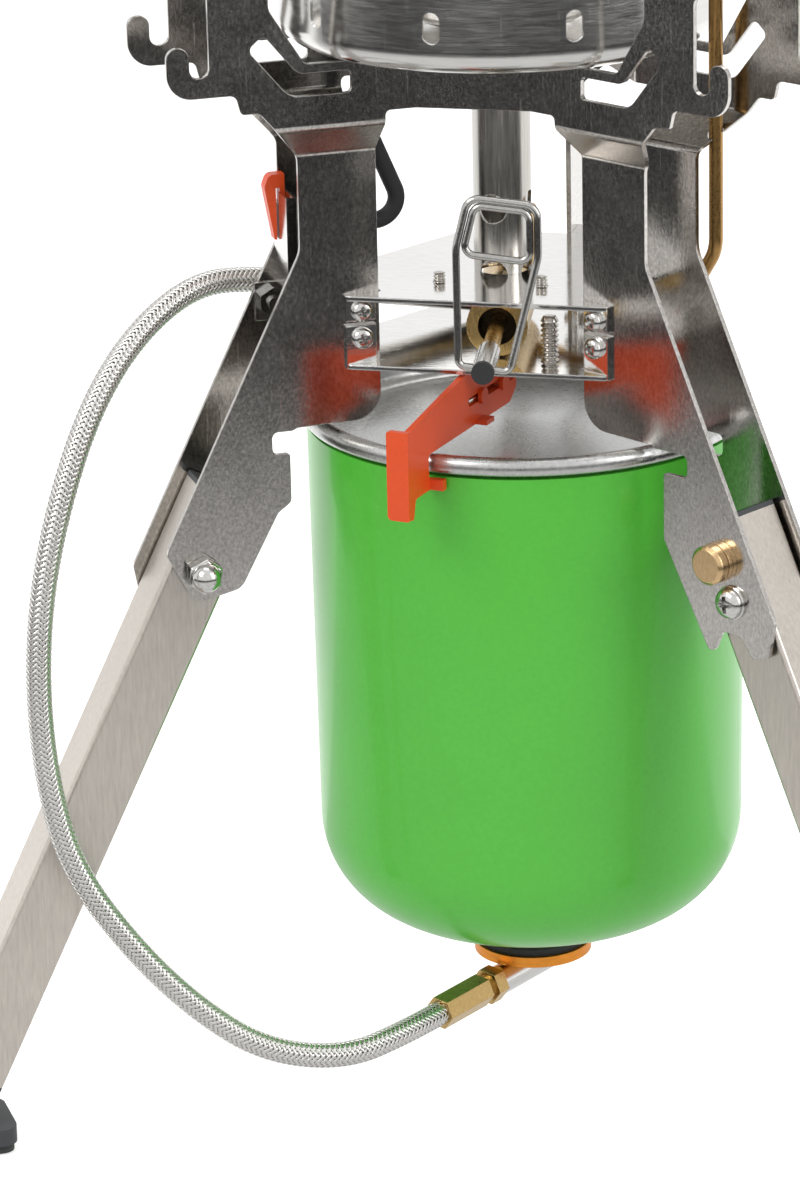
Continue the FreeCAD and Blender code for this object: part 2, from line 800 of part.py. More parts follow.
preheat_start = placed(port_radial, preheat_start_offset, preheat_low, right_leg)
preheat_points = [
    preheat_start, placed(preheat_low_turn, preheat_start_offset, preheat_low, right_leg),
    placed(preheat_upright, preheat_offset, preheat_rise, right_leg),
    placed(preheat_upright, preheat_offset, preheat_over, right_leg),
    Vec(jet_block_x, jet_block_y, preheat_over), preheat_end,
]
keep("preheat_tube", tube_along(bent_path(preheat_points, [9.0, 10.0, 8.0, 8.0]), preheat_radius))
port_way = placed(1, 0, 0, right_leg)
port = rod(preheat_start - port_way * port_length, preheat_start, port_radius)


# Hose inlet: a steel pipe from the back of the valve barrel, leaning up to the hose's upper ferrule

def along_inlet(radial):
    return placed(radial, inlet_offset, inlet_base + radial * math.tan(math.radians(inlet_tilt)), left_leg)


inlet = rod(along_inlet(inlet_start - 6), along_inlet(inlet_joint), inlet_radius)
barrel = barrel.fuse(port).removeSplitter()
keep("valve_body", barrel)
keep("hose_inlet", inlet.cut(barrel))
keep("upper_ferrule", hex_rod(along_inlet(inlet_joint), along_inlet(inlet_reach), ferrule_flats))


# Gas cartridge: deep-drawn can with its seamed base upwards

can_rim_bottom = rim_ledge + can_rim_gap
can_rim_top = can_rim_bottom + can_rim_height
wall_head = Vec(can_wall_top, 0, can_rim_bottom - can_skin)
floor_top = can_rim_top - can_base_depth
floor_under = floor_top - can_skin


def shoulder(inset, neck):
    """Crown cone, knuckle and wall foot of the can, set inside its outer face, from a neck radius outwards."""
    centre = Vec(can_wall_bottom - can_knuckle, 0, can_knuckle_height)
    turns = [math.radians(angle) for angle in (90 - can_crown_slope, 45, 0)]
    reach = can_knuckle - inset
    ends = [centre + Vec(reach * math.cos(turn), 0, -reach * math.sin(turn)) for turn in turns]
    drop = (ends[0].x - neck) * math.tan(math.radians(can_crown_slope))
    start = Vec(neck, 0, ends[0].z - drop)
    return start, [Part.makeLine(start, ends[0]), Part.Arc(*ends).toShape()], ends[2]


def revolved(edges, points):
    """Turns a profile about the can's axis: the edges, then straight lines through the points."""
    lines = [Part.makeLine(here, there) for here, there in zip(points, points[1:])]
    return Part.Face(Part.Wire(edges + lines)).revolve(Vec(0, 0, 0), Vec(0, 0, 1), 360)


crown_start, crown_edges, wall_foot = shoulder(0, can_neck_radius)
can = revolved(crown_edges, [
    wall_foot, wall_head, Vec(can_rim_inside, 0, wall_head.z), Vec(can_rim_inside, 0, floor_under),
    Vec(0, 0, floor_under), Vec(0, 0, can_neck_bottom), Vec(can_neck_radius, 0, can_neck_bottom), crown_start,
])
ledge_bottom = floor_under - can_wall
wall_lean = (can_wall_top - can_wall_bottom) / (wall_head.z - can_knuckle_height)
wall_inside = can_wall_bottom + wall_lean * (ledge_bottom - can_knuckle_height) - can_wall
ledge_inside = can_rim_inside - can_ledge
hollow_start, hollow_edges, hollow_foot = shoulder(can_wall, 0)
can = can.cut(revolved(hollow_edges, [
    hollow_foot, Vec(wall_inside, 0, ledge_bottom), Vec(ledge_inside, 0, ledge_bottom),
    Vec(ledge_inside, 0, floor_under), Vec(0, 0, floor_under), hollow_start,
]))
can.translate(Vec(can_x, can_y, 0))
keep("cartridge_body", can)

rim_round = can_rim_height / 2 - 0.2
dome_start = can_rim_inside - can_base_ring
base_profile = [
    (0, floor_under + can_base_dome, 0), (dome_start, floor_under, 6.0), (can_rim_inside, floor_under, 0),
    (can_rim_inside, wall_head.z, 0), (can_rim_inside + 0.8, can_rim_bottom, 0),
    (can_rim_radius, can_rim_bottom, rim_round), (can_rim_radius, can_rim_top, rim_round),
    (can_rim_inside - can_skin, can_rim_top, 1.2), (can_rim_inside - 2 * can_skin, floor_top, 3.0),
    (dome_start, floor_top, 6.0), (0, floor_top + can_base_dome, 0),
]
base = rounded_face(base_profile, in_radial_plane).revolve(Vec(0, 0, 0), Vec(0, 0, 1), 360)
base.translate(Vec(can_x, can_y, 0))
keep("cartridge_base", base.cut(can))


# Coupling screwed under the cartridge: seal, anodised ring, steel body and brass hose nut

def under_can(distance, height=coupling_height):
    return placed(distance, 0, height, coupling_angle) + Vec(can_x, can_y, 0)


seal_bottom = can_neck_bottom - seal_height
ring_bottom = seal_bottom - ring_height
seal = Part.makeCylinder(seal_radius, seal_height, Vec(can_x, can_y, seal_bottom))
keep("coupling_seal", seal)
ring_place = Vec(can_x, can_y, ring_bottom)
ring = Part.makeCylinder(ring_radius, ring_height, ring_place)
keep("coupling_ring", ring.cut(Part.makeCylinder(coupling_stem_radius + running, ring_height, ring_place)))
stem_bottom = coupling_height + coupling_stem_low
stem = Part.makeCylinder(coupling_stem_radius, seal_bottom - stem_bottom, Vec(can_x, can_y, stem_bottom))
arm = rod(under_can(-coupling_tail), under_can(coupling_reach), coupling_radius)
keep("coupling_body", stem.fuse(arm).removeSplitter())
hose_nut = hex_rod(under_can(coupling_reach), under_can(nut_reach), hose_nut_flats, 30)
hose_nut = hose_nut.fuse(rod(under_can(nut_reach), under_can(ferrule_neck), ferrule_neck_radius))
keep("hose_nut", hose_nut.removeSplitter())
keep("lower_ferrule", hex_rod(under_can(ferrule_neck), under_can(ferrule_reach), ferrule_flats, 30))


# Braided hose from the lower ferrule, out past the left leg and up to the inlet

route = [under_can(ferrule_reach), under_can(ferrule_reach + hose_lower_run)]
route += [Vec(*point) for point in hose_free_points]
upper_end = along_inlet(inlet_reach)
upper_way = (along_inlet(inlet_reach) - along_inlet(inlet_joint)).normalize()
route += [upper_end + upper_way * hose_upper_run, upper_end]
hose_radii = []
for index in range(1, len(route) - 1):
    before = route[index - 1] - route[index]
    after = route[index + 1] - route[index]
    half_turn = (math.pi - before.getAngle(after)) / 2
    hose_radii.append(hose_bend_share * min(before.Length, after.Length) / math.tan(half_turn))
hose_path = bent_path(route, hose_radii)
hose = tube_along(hose_path, hose_radius)
hose_full = math.pi * hose_radius ** 2 * hose_path.Length
print("hose radii", [round(radius, 1) for radius in hose_radii])
print("hose length", round(hose_path.Length, 1), "volume ratio", round(hose.Volume / hose_full, 4))
keep("fuel_hose", hose)


# Rim latch: sheet hook with a finger flange, sliding on two pins in a guide under the lower hub plate

def latch_frame(shape):
    return turned(shape, latch_angle)


def latch_side(offset):
    return latch_offset + offset


jaw_inner = -(can_x * math.cos(math.radians(latch_angle)) + can_y * math.sin(math.radians(latch_angle)))
rim_at_latch = can_rim_radius - jaw_inner
slot_middle = latch_slot_low + latch_slot_width / 2
jaw_tip = rim_at_latch - (can_rim_radius - can_wall_top) + latch_jaw_clear
notch_end = rim_at_latch + latch_rim_clear
latch_low = can_rim_top + latch_jaw_gap
jaw_top = can_rim_bottom - latch_jaw_gap
jaw_bottom = jaw_top - latch_jaw_height
latch_outline = [
    (latch_root, latch_top, 1.5), (latch_shoulder, latch_top, 6.0), (latch_end, latch_end_top, 0),
    (latch_end, latch_handle_bottom, 0), (latch_end - 1.2, latch_handle_bottom, 0),
    (latch_end - 2.4, jaw_bottom, 1.2), (jaw_tip, jaw_bottom, 0.6), (jaw_tip, jaw_top, 0.4),
    (notch_end, jaw_top, 1.0),
    (notch_end, latch_low, 1.0), (latch_root + 4.0, latch_low, 2.0), (latch_root, latch_low + 3.0, 1.5),
]
sheet_face = rounded_face(latch_outline, in_radial_plane)
latch = sheet_face.extrude(Vec(0, latch_sheet, 0))
latch.translate(Vec(0, latch_side(-latch_sheet / 2), 0))
slot_end_round = latch_slot_width / 2 - 0.01
slide_slot = rounded_face([
    (latch_slot_inner, latch_slot_low, slot_end_round), (latch_slot_outer, latch_slot_low, slot_end_round),
    (latch_slot_outer, latch_slot_low + latch_slot_width, slot_end_round),
    (latch_slot_inner, latch_slot_low + latch_slot_width, slot_end_round)], in_radial_plane)
latch = latch.cut(cross_cut(slide_slot))
right_face = latch_side(latch_sheet / 2)
left_face = latch_side(-latch_sheet / 2)
finger_edge = left_face - latch_handle_width
finger_face = rounded_face([
    (right_face, latch_end_top, 0), (finger_edge, latch_end_top, 0.8),
    (finger_edge, latch_handle_bottom, 1.2), (right_face, latch_handle_bottom, 0.4)], across_channel)
finger = finger_face.extrude(Vec(latch_sheet, 0, 0))
finger.translate(Vec(latch_end, 0, 0))
jaw_tab = Part.makeBox(*latch_jaw_tab, latch_jaw_height, Vec(jaw_tip, right_face, jaw_bottom))
stop_tab = Part.makeBox(*latch_stop_tab, Vec(latch_stop_at, right_face, latch_low))
latch = latch.fuse([finger, jaw_tab, stop_tab]).removeSplitter()
keep("rim_latch", latch_frame(latch))

guide_side = left_face - guide_play
guide_length = guide_end - guide_start
wall_place = Vec(guide_start, guide_side - guide_wall, latch_low)
wall = Part.makeBox(guide_length, guide_wall, hub_lower_bottom - latch_low, wall_place)
shelf_place = Vec(guide_start, guide_side - guide_flange, hub_lower_bottom - guide_wall)
shelf = Part.makeBox(guide_length, guide_flange, guide_wall, shelf_place)
guide = wall.fuse(shelf).removeSplitter()
pins = []
for place in latch_pin_places:
    inner = Vec(place, guide_side - guide_wall, slot_middle)
    outer = Vec(place, right_face + guide_play, slot_middle)
    head_radius_of_pin, head_thickness = latch_pin_head
    pin_head = rod(outer, outer + Vec(0, head_thickness, 0), head_radius_of_pin)
    pin = rod(inner, outer, latch_pin_radius).fuse(pin_head).removeSplitter()
    guide = guide.cut(rod(inner - Vec(0, 1, 0), outer, latch_pin_radius))
    pins.append(latch_frame(pin))
keep("latch_guide", latch_frame(guide))
keep("latch_pins", Part.makeCompound(pins))
wire_from = Vec(latch_pin_places[1] + latch_pin_radius, latch_side(0), slot_middle)
wire_to = Vec(latch_slot_outer - 0.8, latch_side(0), slot_middle)
keep("latch_wire", latch_frame(rod(wire_from, wire_to, guide_wire_radius)))


# Legs: square steel tubes that fold outwards and up, with end plugs, feet and rubber soles

lean_angle = math.radians(splay)
leg_way = Vec(math.sin(lean_angle), 0, -math.cos(lean_angle))
pivot = Vec(pivot_radius, 0, pivot_height)
sole_line = pivot_radius + pivot_height * math.tan(lean_angle)


def leg_block(width, start, end, corner):
    """Square bar along the leg, start and end measured down from the pivot."""
    half = width / 2
    face = rounded_face([(-half, -half, corner), (half, -half, corner),
                         (half, half, corner), (-half, half, corner)], in_floor_plane)
    bar = face.extrude(Vec(0, 0, end - start))
    bar.Placement = FreeCAD.Placement(pivot + leg_way * start, FreeCAD.Rotation(Vec(0, 1, 0), 180 - splay))
    return bar


inside = leg_width - 2 * leg_wall
leg_tube = leg_block(leg_width, -leg_stub, leg_end, leg_corner)
leg_tube = leg_tube.cut(leg_block(inside, -leg_stub - 1, leg_end + 1, leg_inside_corner))
leg_tube = leg_tube.cut(cross_hole(pivot_radius, pivot_height, bolt_radius + running))
lock_radial, lock_height = lock_place()
lock_middle = Vec(lock_radial, 0, lock_height)
leg_tube = leg_tube.cut(rod(lock_middle - Vec(0, leg_width, 0), lock_middle, lock_pin_radius + lock_gap))

plug_width = inside - 2 * plug_play
plug = leg_block(leg_width, -leg_stub - plug_cap, -leg_stub, leg_corner)
plug = plug.fuse(leg_block(plug_width, -leg_stub, -leg_stub + plug_depth, plug_corner)).removeSplitter()

foot_core = leg_block(plug_width, leg_end - foot_core_depth, leg_end, plug_corner)
collar = leg_block(leg_width, leg_end, leg_end + foot_length, leg_corner)
above_sole = Part.makeBox(2 * sole_line, 4 * foot_width, pivot_height, Vec(0, -2 * foot_width, sole_height))
collar = collar.common(above_sole)
pad_start = sole_line - foot_length / 2 - foot_shift
pad_end = pad_start + foot_length
pad_half = foot_width / 2
pad_face = rounded_face([
    (pad_start, -pad_half, foot_heel_round), (pad_end, -pad_half, foot_toe_round),
    (pad_end, pad_half, foot_toe_round), (pad_start, pad_half, foot_heel_round)], in_floor_plane)
pad = pad_face.extrude(Vec(0, 0, foot_base_height))
pad.translate(Vec(0, 0, sole_height))
foot = foot_core.fuse([collar, pad]).removeSplitter()
sole_start = pad_start + sole_inset
sole_end = pad_end - sole_inset
sole_half = pad_half - sole_inset
heel_round = foot_heel_round - sole_inset
toe_round = foot_toe_round - sole_inset
sole_face = rounded_face([
    (sole_start, -sole_half, heel_round), (sole_end, -sole_half, toe_round),
    (sole_end, sole_half, toe_round), (sole_start, sole_half, heel_round)], in_floor_plane)
sole = sole_face.extrude(Vec(0, 0, sole_height))

bolts, nuts, washers, bushes = [], [], [], []
for name, angle in leg_angles.items():
    keep("leg_tube_" + name, turned(leg_tube, angle))
    keep("leg_plug_" + name, turned(plug, angle))
    keep("leg_foot_" + name, turned(foot, angle))
    keep("foot_sole_" + name, turned(sole, angle))

    def on_pivot(side, angle=angle):
        return placed(pivot_radius, side, pivot_height, angle)

    shank = rod(on_pivot(-flange_offset), on_pivot(flange_offset + nut_hex_height), bolt_radius)
    pan = rod(on_pivot(-flange_offset - bolt_head_height), on_pivot(-flange_offset), bolt_head_radius)
    bolts.append(shank.fuse(pan).removeSplitter())
    nut = hex_rod(on_pivot(flange_offset), on_pivot(flange_offset + nut_hex_height), nut_flats)
    dome_radius = nut_flats / 2 - 0.4
    dome_base = on_pivot(flange_offset + nut_hex_height)
    dome = Part.makeSphere(dome_radius, dome_base).common(
        rod(dome_base, on_pivot(flange_offset + nut_hex_height + dome_radius), dome_radius))
    nuts.append(nut.fuse(dome).removeSplitter().cut(shank))
    gap_middle = (flange_offset - sheet + leg_width / 2) / 2
    for side in (-1, 1):
        face = side * (gap_middle - washer_thickness / 2)
        back = side * (gap_middle + washer_thickness / 2)
        disc = rod(on_pivot(face), on_pivot(back), washer_radius)
        washers.append(disc.cut(rod(on_pivot(face * 0.9), on_pivot(back * 1.1), bolt_radius + running)))

    def on_lock(outside, angle=angle):
        return placed(lock_radial, -flange_offset - outside, lock_height, angle)

    bush = rod(on_lock(0), on_lock(lock_bush_height), lock_bush_radius)
    bush = bush.fuse(rod(on_lock(-sheet), on_lock(0), lock_bush_sleeve))
    bush_bore = rod(on_lock(-2 * sheet), on_lock(4 * sheet), lock_pin_radius + running)
    bushes.append(bush.cut(bush_bore).removeSplitter())
    pin_tip = flange_offset - leg_width / 2 - lock_gap
    knob_base = lock_bush_height + lock_gap
    knob = rod(on_lock(knob_base), on_lock(knob_base + lock_knob_height), lock_knob_radius)
    knob_top = on_lock(knob_base + lock_knob_height)
    top_edge = [edge for edge in knob.Edges if edge.BoundBox.Center.distanceToPoint(knob_top) < 0.01]
    knob = knob.makeChamfer(lock_knob_chamfer, top_edge)
    pin = rod(on_lock(-pin_tip), on_lock(knob_base + 0.5), lock_pin_radius)
    keep("lock_knob_" + name, knob.fuse(pin).removeSplitter())
keep("leg_bolts", Part.makeCompound(bolts))
keep("leg_nuts", Part.makeCompound(nuts))
keep("leg_washers", Part.makeCompound(washers))
keep("lock_bushes", Part.makeCompound(bushes))


# Igniter in the left channel: folded holder, piezo body, push button, fixing bolt, lead and electrode

def left_box(inner, outer, near, far, low, high):
    box = Part.makeBox(outer - inner, far - near, high - low, Vec(inner, near, low))
    return turned(box, left_leg)


far_face = sheet - flange_offset
foot_face = far_face + holder_wall
holder_outer = holder_inner + holder_depth
holder_end = far_face + holder_width
holder = left_box(holder_inner, holder_outer, far_face, holder_end, holder_low, holder_high)
sleeve_inside = left_box(holder_inner + holder_wall, holder_outer - holder_wall,
                         foot_face, holder_end - holder_wall, holder_low - 1, holder_high + 1)
button_end = foot_face + button_leg
bridge_notch = left_box(holder_outer - 2 * holder_wall, holder_outer + 1,
                        far_face - 1, button_end + 2 * button_gap, holder_notch, holder_high + 1)
holder_foot = left_box(holder_foot_inner, holder_foot_outer, far_face, foot_face, holder_foot_low, holder_low)
holder = holder.cut(sleeve_inside).cut(bridge_notch).fuse(holder_foot)


def on_igniter_bolt(side):
    return placed(igniter_bolt_at, side, igniter_bolt_height, left_leg)


nut_top = foot_face + igniter_nut_height
bolt_seat = on_igniter_bolt(-flange_offset)
bolt_crown = on_igniter_bolt(-flange_offset - screw_head_height)
bolt_shank = rod(bolt_seat, on_igniter_bolt(nut_top + igniter_bolt_rise), igniter_bolt_radius)
bolt_head = rod(bolt_crown, bolt_seat, 2 * igniter_bolt_radius)
keep("igniter_bolt", bolt_shank.fuse(bolt_head).removeSplitter())
bolt_room = rod(on_igniter_bolt(-flange_offset), on_igniter_bolt(holder_end), igniter_bolt_radius + running)
keep("igniter_holder", holder.cut(bolt_room).removeSplitter())
nut = hex_rod(on_igniter_bolt(foot_face), on_igniter_bolt(nut_top), igniter_nut_flats)
keep("igniter_nut", nut.cut(bolt_shank))

body_far = foot_face + igniter_width
keep("igniter_body", left_box(igniter_inner, holder_inner, foot_face, body_far, igniter_low, igniter_high))

tongue_inner = holder_outer + button_gap
tongue_face = rounded_face([
    (tongue_inner, button_low, 0), (tongue_inner + 0.6, button_low, 0), (button_reach, button_high - 3.0, 2.4),
    (button_reach - 1.2, button_high, 1.8), (tongue_inner, button_high, 0)], in_radial_plane)
tongue = tongue_face.extrude(Vec(0, button_leg - button_gap, 0))
tongue.translate(Vec(0, foot_face + button_gap, 0))
button = turned(tongue, left_leg)
leg_inner = holder_inner + holder_wall + button_gap / 3
leg_outer = holder_outer - holder_wall - button_gap / 3
button_start = foot_face + button_gap
button = button.fuse([
    left_box(leg_inner, tongue_inner + 1, button_start, button_end, button_bridge, button_high),
    left_box(leg_inner, leg_outer, button_start, button_end, button_low, button_high)])
keep("igniter_button", button.removeSplitter())

lead_exit = placed(igniter_inner, lead_bend[1], lead_bend_height, left_leg)
lead_turn = placed(*lead_bend, lead_bend_height, left_leg)
electrode_foot = Vec(*electrode_place, insulator_low)
lead_points = [lead_exit, lead_turn, Vec(*electrode_place, lead_rise), electrode_foot]
keep("igniter_lead", tube_along(bent_path(lead_points, [5.5, 14.0]), lead_radius))

insulator_top = Vec(*electrode_place, insulator_high)
insulator = rod(electrode_foot, insulator_top, insulator_radius)
collar_low = bowl_seat + bowl_wall
insulator = insulator.fuse(Part.makeCylinder(insulator_radius + 1.2, 2.0, Vec(*electrode_place, collar_low)))
keep("electrode_insulator", insulator.removeSplitter())
spark_scale = electrode_tip / math.hypot(*electrode_place)
spark_height = insulator_high + electrode_rise
spark_end = Vec(electrode_place[0] * spark_scale, electrode_place[1] * spark_scale, spark_height)
electrode_points = [insulator_top, Vec(*electrode_place, spark_height), spark_end]
keep("igniter_electrode", tube_along(bent_path(electrode_points, [2.0]), electrode_radius))
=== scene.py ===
import math

import bpy
from mathutils import Matrix, Vector


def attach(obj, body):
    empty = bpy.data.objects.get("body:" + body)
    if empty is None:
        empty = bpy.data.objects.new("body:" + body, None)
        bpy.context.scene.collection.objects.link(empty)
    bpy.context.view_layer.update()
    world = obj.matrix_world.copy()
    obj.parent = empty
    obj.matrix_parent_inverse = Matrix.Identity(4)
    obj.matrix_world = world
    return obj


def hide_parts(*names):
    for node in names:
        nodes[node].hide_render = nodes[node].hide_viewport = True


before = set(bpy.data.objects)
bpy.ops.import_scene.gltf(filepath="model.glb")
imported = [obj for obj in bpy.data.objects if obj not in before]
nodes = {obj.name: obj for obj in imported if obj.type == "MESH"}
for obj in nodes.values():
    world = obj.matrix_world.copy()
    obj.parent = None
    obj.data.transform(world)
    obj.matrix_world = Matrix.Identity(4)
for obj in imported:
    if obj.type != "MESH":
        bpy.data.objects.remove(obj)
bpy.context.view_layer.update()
bpy.ops.object.select_all(action="DESELECT")


# The studio: a white sweep under soft light, seen through a long lens from a little above and to the right.
# A card that darkens away from the stove lies in front of it, unseen by the camera, so that upright bare metal
# is dark at the top and pale lower down, as it is in a room beyond the lit table.

view_target = Vector((-0.0264, -0.0064, 0.1274))
view_azimuth = math.radians(13.646)
view_elevation = math.radians(18.881)
view_distance = 1.2958
view_roll = math.radians(-1.288)
lens_length = 155.04
sensor_side = 36.0

view_ground = math.cos(view_elevation)
view_from = Vector((
    math.sin(view_azimuth) * view_ground, -math.cos(view_azimuth) * view_ground, math.sin(view_elevation)))
lens = bpy.data.cameras.new("photo_lens")
lens.sensor_fit = "VERTICAL"
lens.sensor_height = sensor_side
lens.lens = lens_length
camera = bpy.data.objects.new("photo_camera", lens)
bpy.context.collection.objects.link(camera)
standing = Matrix.Translation(view_target + view_from * view_distance)
looking = (-view_from).to_track_quat("-Z", "Y").to_matrix().to_4x4()
camera.matrix_world = standing @ looking @ Matrix.Rotation(view_roll, 4, "Z")
bpy.context.scene.camera = camera
bpy.context.scene.view_settings.view_transform = "Standard"


class Socket:
    """A shader socket. Python arithmetic on it adds Math nodes."""

    def __init__(self, tree, plug):
        self.tree = tree
        self.plug = plug

    def node(self, kind, settings, inlets, outlet=0):
        """Adds a node, sets it up, fills or links its inputs and gives one of its outputs."""
        made = self.tree.nodes.new(kind)
        for key, value in settings.items():
            setattr(made, key, value)
        for key, value in inlets.items():
            if isinstance(value, Socket):
                self.tree.links.new(value.plug, made.inputs[key])
            else:
                made.inputs[key].default_value = value
        return Socket(self.tree, made.outputs[outlet])

    def math(self, operation, first, second):
        return self.node("ShaderNodeMath", {"operation": operation}, {0: first, 1: second})

    def mix(self, first, second):
        """From one colour to another as this value goes from nought to one."""
        return self.node("ShaderNodeMix", {"data_type": "RGBA"}, {0: self, 6: first, 7: second}, 2)

    def step(self, low, high):
        """A smooth step from nought to one as this value goes from low to high."""
        return self.node("ShaderNodeMapRange", {"interpolation_type": "SMOOTHSTEP"}, {0: self, 1: low, 2: high})

    def __add__(self, other):
        return self.math("ADD", self, other)

    def __sub__(self, other):
        return self.math("SUBTRACT", self, other)

    def __rsub__(self, other):
        return self.math("SUBTRACT", other, self)

    def __mul__(self, other):
        return self.math("MULTIPLY", self, other)

    __radd__ = __add__
    __rmul__ = __mul__


def new_finish(name):
    """A new material, with its shader node and its Object coordinates."""
    material = bpy.data.materials.new(name)
    material.use_nodes = True
    tree = material.node_tree
    shader = tree.nodes["Principled BSDF"]
    place = Socket(tree, tree.nodes.new("ShaderNodeTexCoord").outputs["Object"])
    return material, shader, place


def feed(shader, inlets):
    """Sets shader sockets to constants or links."""
    for key, value in inlets.items():
        if isinstance(value, Socket):
            value.tree.links.new(value.plug, shader.inputs[key])
        else:
            shader.inputs[key].default_value = value


def grey(level):
    """A neutral colour."""
    return (level, level, level, 1.0)


def seen_share(tree):
    """One for rays from the camera, off shiny metal or through glass, nought for light that spreads."""
    path = tree.nodes.new("ShaderNodeLightPath")
    rays = ("Is Camera Ray", "Is Glossy Ray", "Is Transmission Ray")
    seen, shiny, passed = [Socket(tree, path.outputs[ray]) for ray in rays]
    return seen.math("MAXIMUM", seen, shiny.math("MAXIMUM", shiny, passed))


white = grey(1.0)
black = grey(0.0)
spread_light = grey(0.60)
world = bpy.data.worlds.new("studio_air")
world.use_nodes = True
bpy.context.scene.world = world
air_tree = world.node_tree
feed(air_tree.nodes["Background"], {"Color": seen_share(air_tree).mix(spread_light, white)})

lamp_target = Vector((0.0, 0.0, 0.15))


def studio_panel(name, place, size, power):
    """Soft rectangular lamp facing the stove."""
    lamp = bpy.data.lights.new(name, "AREA")
    lamp.shape = "RECTANGLE"
    lamp.size, lamp.size_y = size
    lamp.energy = power
    panel = bpy.data.objects.new(name, lamp)
    bpy.context.collection.objects.link(panel)
    way = lamp_target - Vector(place)
    panel.matrix_world = Matrix.Translation(place) @ way.to_track_quat("-Z", "Y").to_matrix().to_4x4()


studio_panel("key_panel", place=(-0.9, -1.1, 1.3), size=(0.8, 0.8), power=13.0)
studio_panel("side_panel", place=(1.3, -0.5, 0.8), size=(0.5, 1.0), power=6.0)
studio_panel("top_panel", place=(0.0, 0.3, 1.6), size=(1.0, 1.0), power=8.0)


def stage_plane(name, place, size):
    """Flat backdrop piece that is no part of the object, with its shader and coordinates."""
    bpy.ops.object.select_all(action="DESELECT")
    bpy.ops.mesh.primitive_plane_add(size=1.0, location=place)
    board = bpy.context.object
    board.name = name
    board.scale = (*size, 1.0)
    bpy.ops.object.transform_apply(location=True, rotation=True, scale=True)
    material, shader, at = new_finish(name + "_paper")
    board.data.materials.append(material)
    return board, shader, at


floor_shader, floor_at = stage_plane("studio_floor", place=(0.0, 0.0, -0.0004), size=(14.0, 14.0))[1:]
feed(floor_shader, {
    "Base Color": grey(0.80), "Roughness": 0.9, "Specular IOR Level": 0.1,
    "Emission Color": seen_share(floor_at.tree).mix(black, white), "Emission Strength": 0.62,
})

card_pale_end, card_dark_start = 0.34, 0.68
card_back_start, card_back_end = -0.08, 0.12
card_dark, card_light = grey(0.06), grey(0.84)
card, card_shader, card_at = stage_plane("dark_card", place=(0.0, -0.93, 0.001), size=(3.4, 2.1))
card_reach = card_at.node("ShaderNodeVectorMath", {"operation": "LENGTH"}, {0: card_at}, "Value")
card_depth = card_at.node("ShaderNodeSeparateXYZ", {}, {0: card_at}, "Y")
card_near = 1.0 - card_reach.step(card_pale_end, card_dark_start)
card_pale = card_near.math("MAXIMUM", card_near, card_depth.step(card_back_start, card_back_end))
feed(card_shader, {
    "Base Color": black, "Roughness": 1.0, "Specular IOR Level": 0.0,
    "Emission Color": card_pale.mix(card_dark, card_light), "Emission Strength": 1.0,
})
card.visible_camera = False
card.visible_diffuse = False
card.visible_shadow = False
card.visible_transmission = False


# Side plates: three identical stainless sheets, laser cut and bent, each with wing, joggle, leg flange, pot arm
# and hook in one piece. Rolled sheet with a fine satin grain, smudged by handling and marked by hair scratches.
# Each is a copy of the CAD sheet whose bend lines are rounded to the radius of the press tool.

def tinted(colour, share):
    """A colour made lighter or darker by a share, with full alpha."""
    return tuple(share * part for part in colour) + (1.0,)


def bare_metal(name, colour, rough, grain, stretch, wear, edge=0.00025, contrast=0.26):
    """Bare metal with a grain drawn out along one way, slow cloudiness, hair scratches and softened edges."""
    grain_tone, cloud_tone, tone_start = 1.30, 0.70, 0.50
    grain_dull, cloud_dull, scratch_dull = 0.12, 0.16, 0.06
    mean_dull = 0.14
    scratch_start, scratch_full, scratch_height = 0.68, 0.76, 0.5
    darkest, palest = 1.0 - contrast, 1.0 + 0.7 * contrast
    material, shader, place = new_finish(name)
    drawn = place.node("ShaderNodeMapping", {}, {"Vector": place, "Scale": stretch})
    fine = drawn.node("ShaderNodeTexNoise", {}, {
        "Vector": drawn, "Scale": grain, "Detail": 3.0, "Roughness": 0.65})
    cloud = place.node("ShaderNodeTexNoise", {}, {
        "Vector": place, "Scale": 32.0, "Detail": 4.0, "Roughness": 0.6})
    slanted = place.node("ShaderNodeMapping", {}, {
        "Vector": place, "Rotation": (0.5, 0.9, 0.4), "Scale": (1.0, 1.0, 0.04)})
    hairs = slanted.node("ShaderNodeTexNoise", {}, {"Vector": slanted, "Scale": 1300.0, "Detail": 1.0})
    scratch = hairs.step(scratch_start, scratch_full) * wear
    tone = (fine * grain_tone + cloud * cloud_tone - tone_start).mix(tinted(colour, darkest), tinted(colour, palest))
    rounded = place.node("ShaderNodeBevel", {"samples": 4}, {"Radius": edge})
    bump = place.node("ShaderNodeBump", {}, {
        "Strength": 0.10, "Distance": 0.0002, "Height": fine + scratch * scratch_height, "Normal": rounded})
    feed(shader, {
        "Base Color": tone, "Metallic": 1.0, "Normal": bump,
        "Roughness": fine * grain_dull + cloud * cloud_dull + scratch * scratch_dull + (rough - mean_dull)})
    return material


def dress(material, names):
    """Gives CAD nodes a material."""
    for name in names:
        mesh = nodes[name].data
        mesh.materials.clear()
        mesh.materials.append(material)


smooth_below = math.radians(32.0)


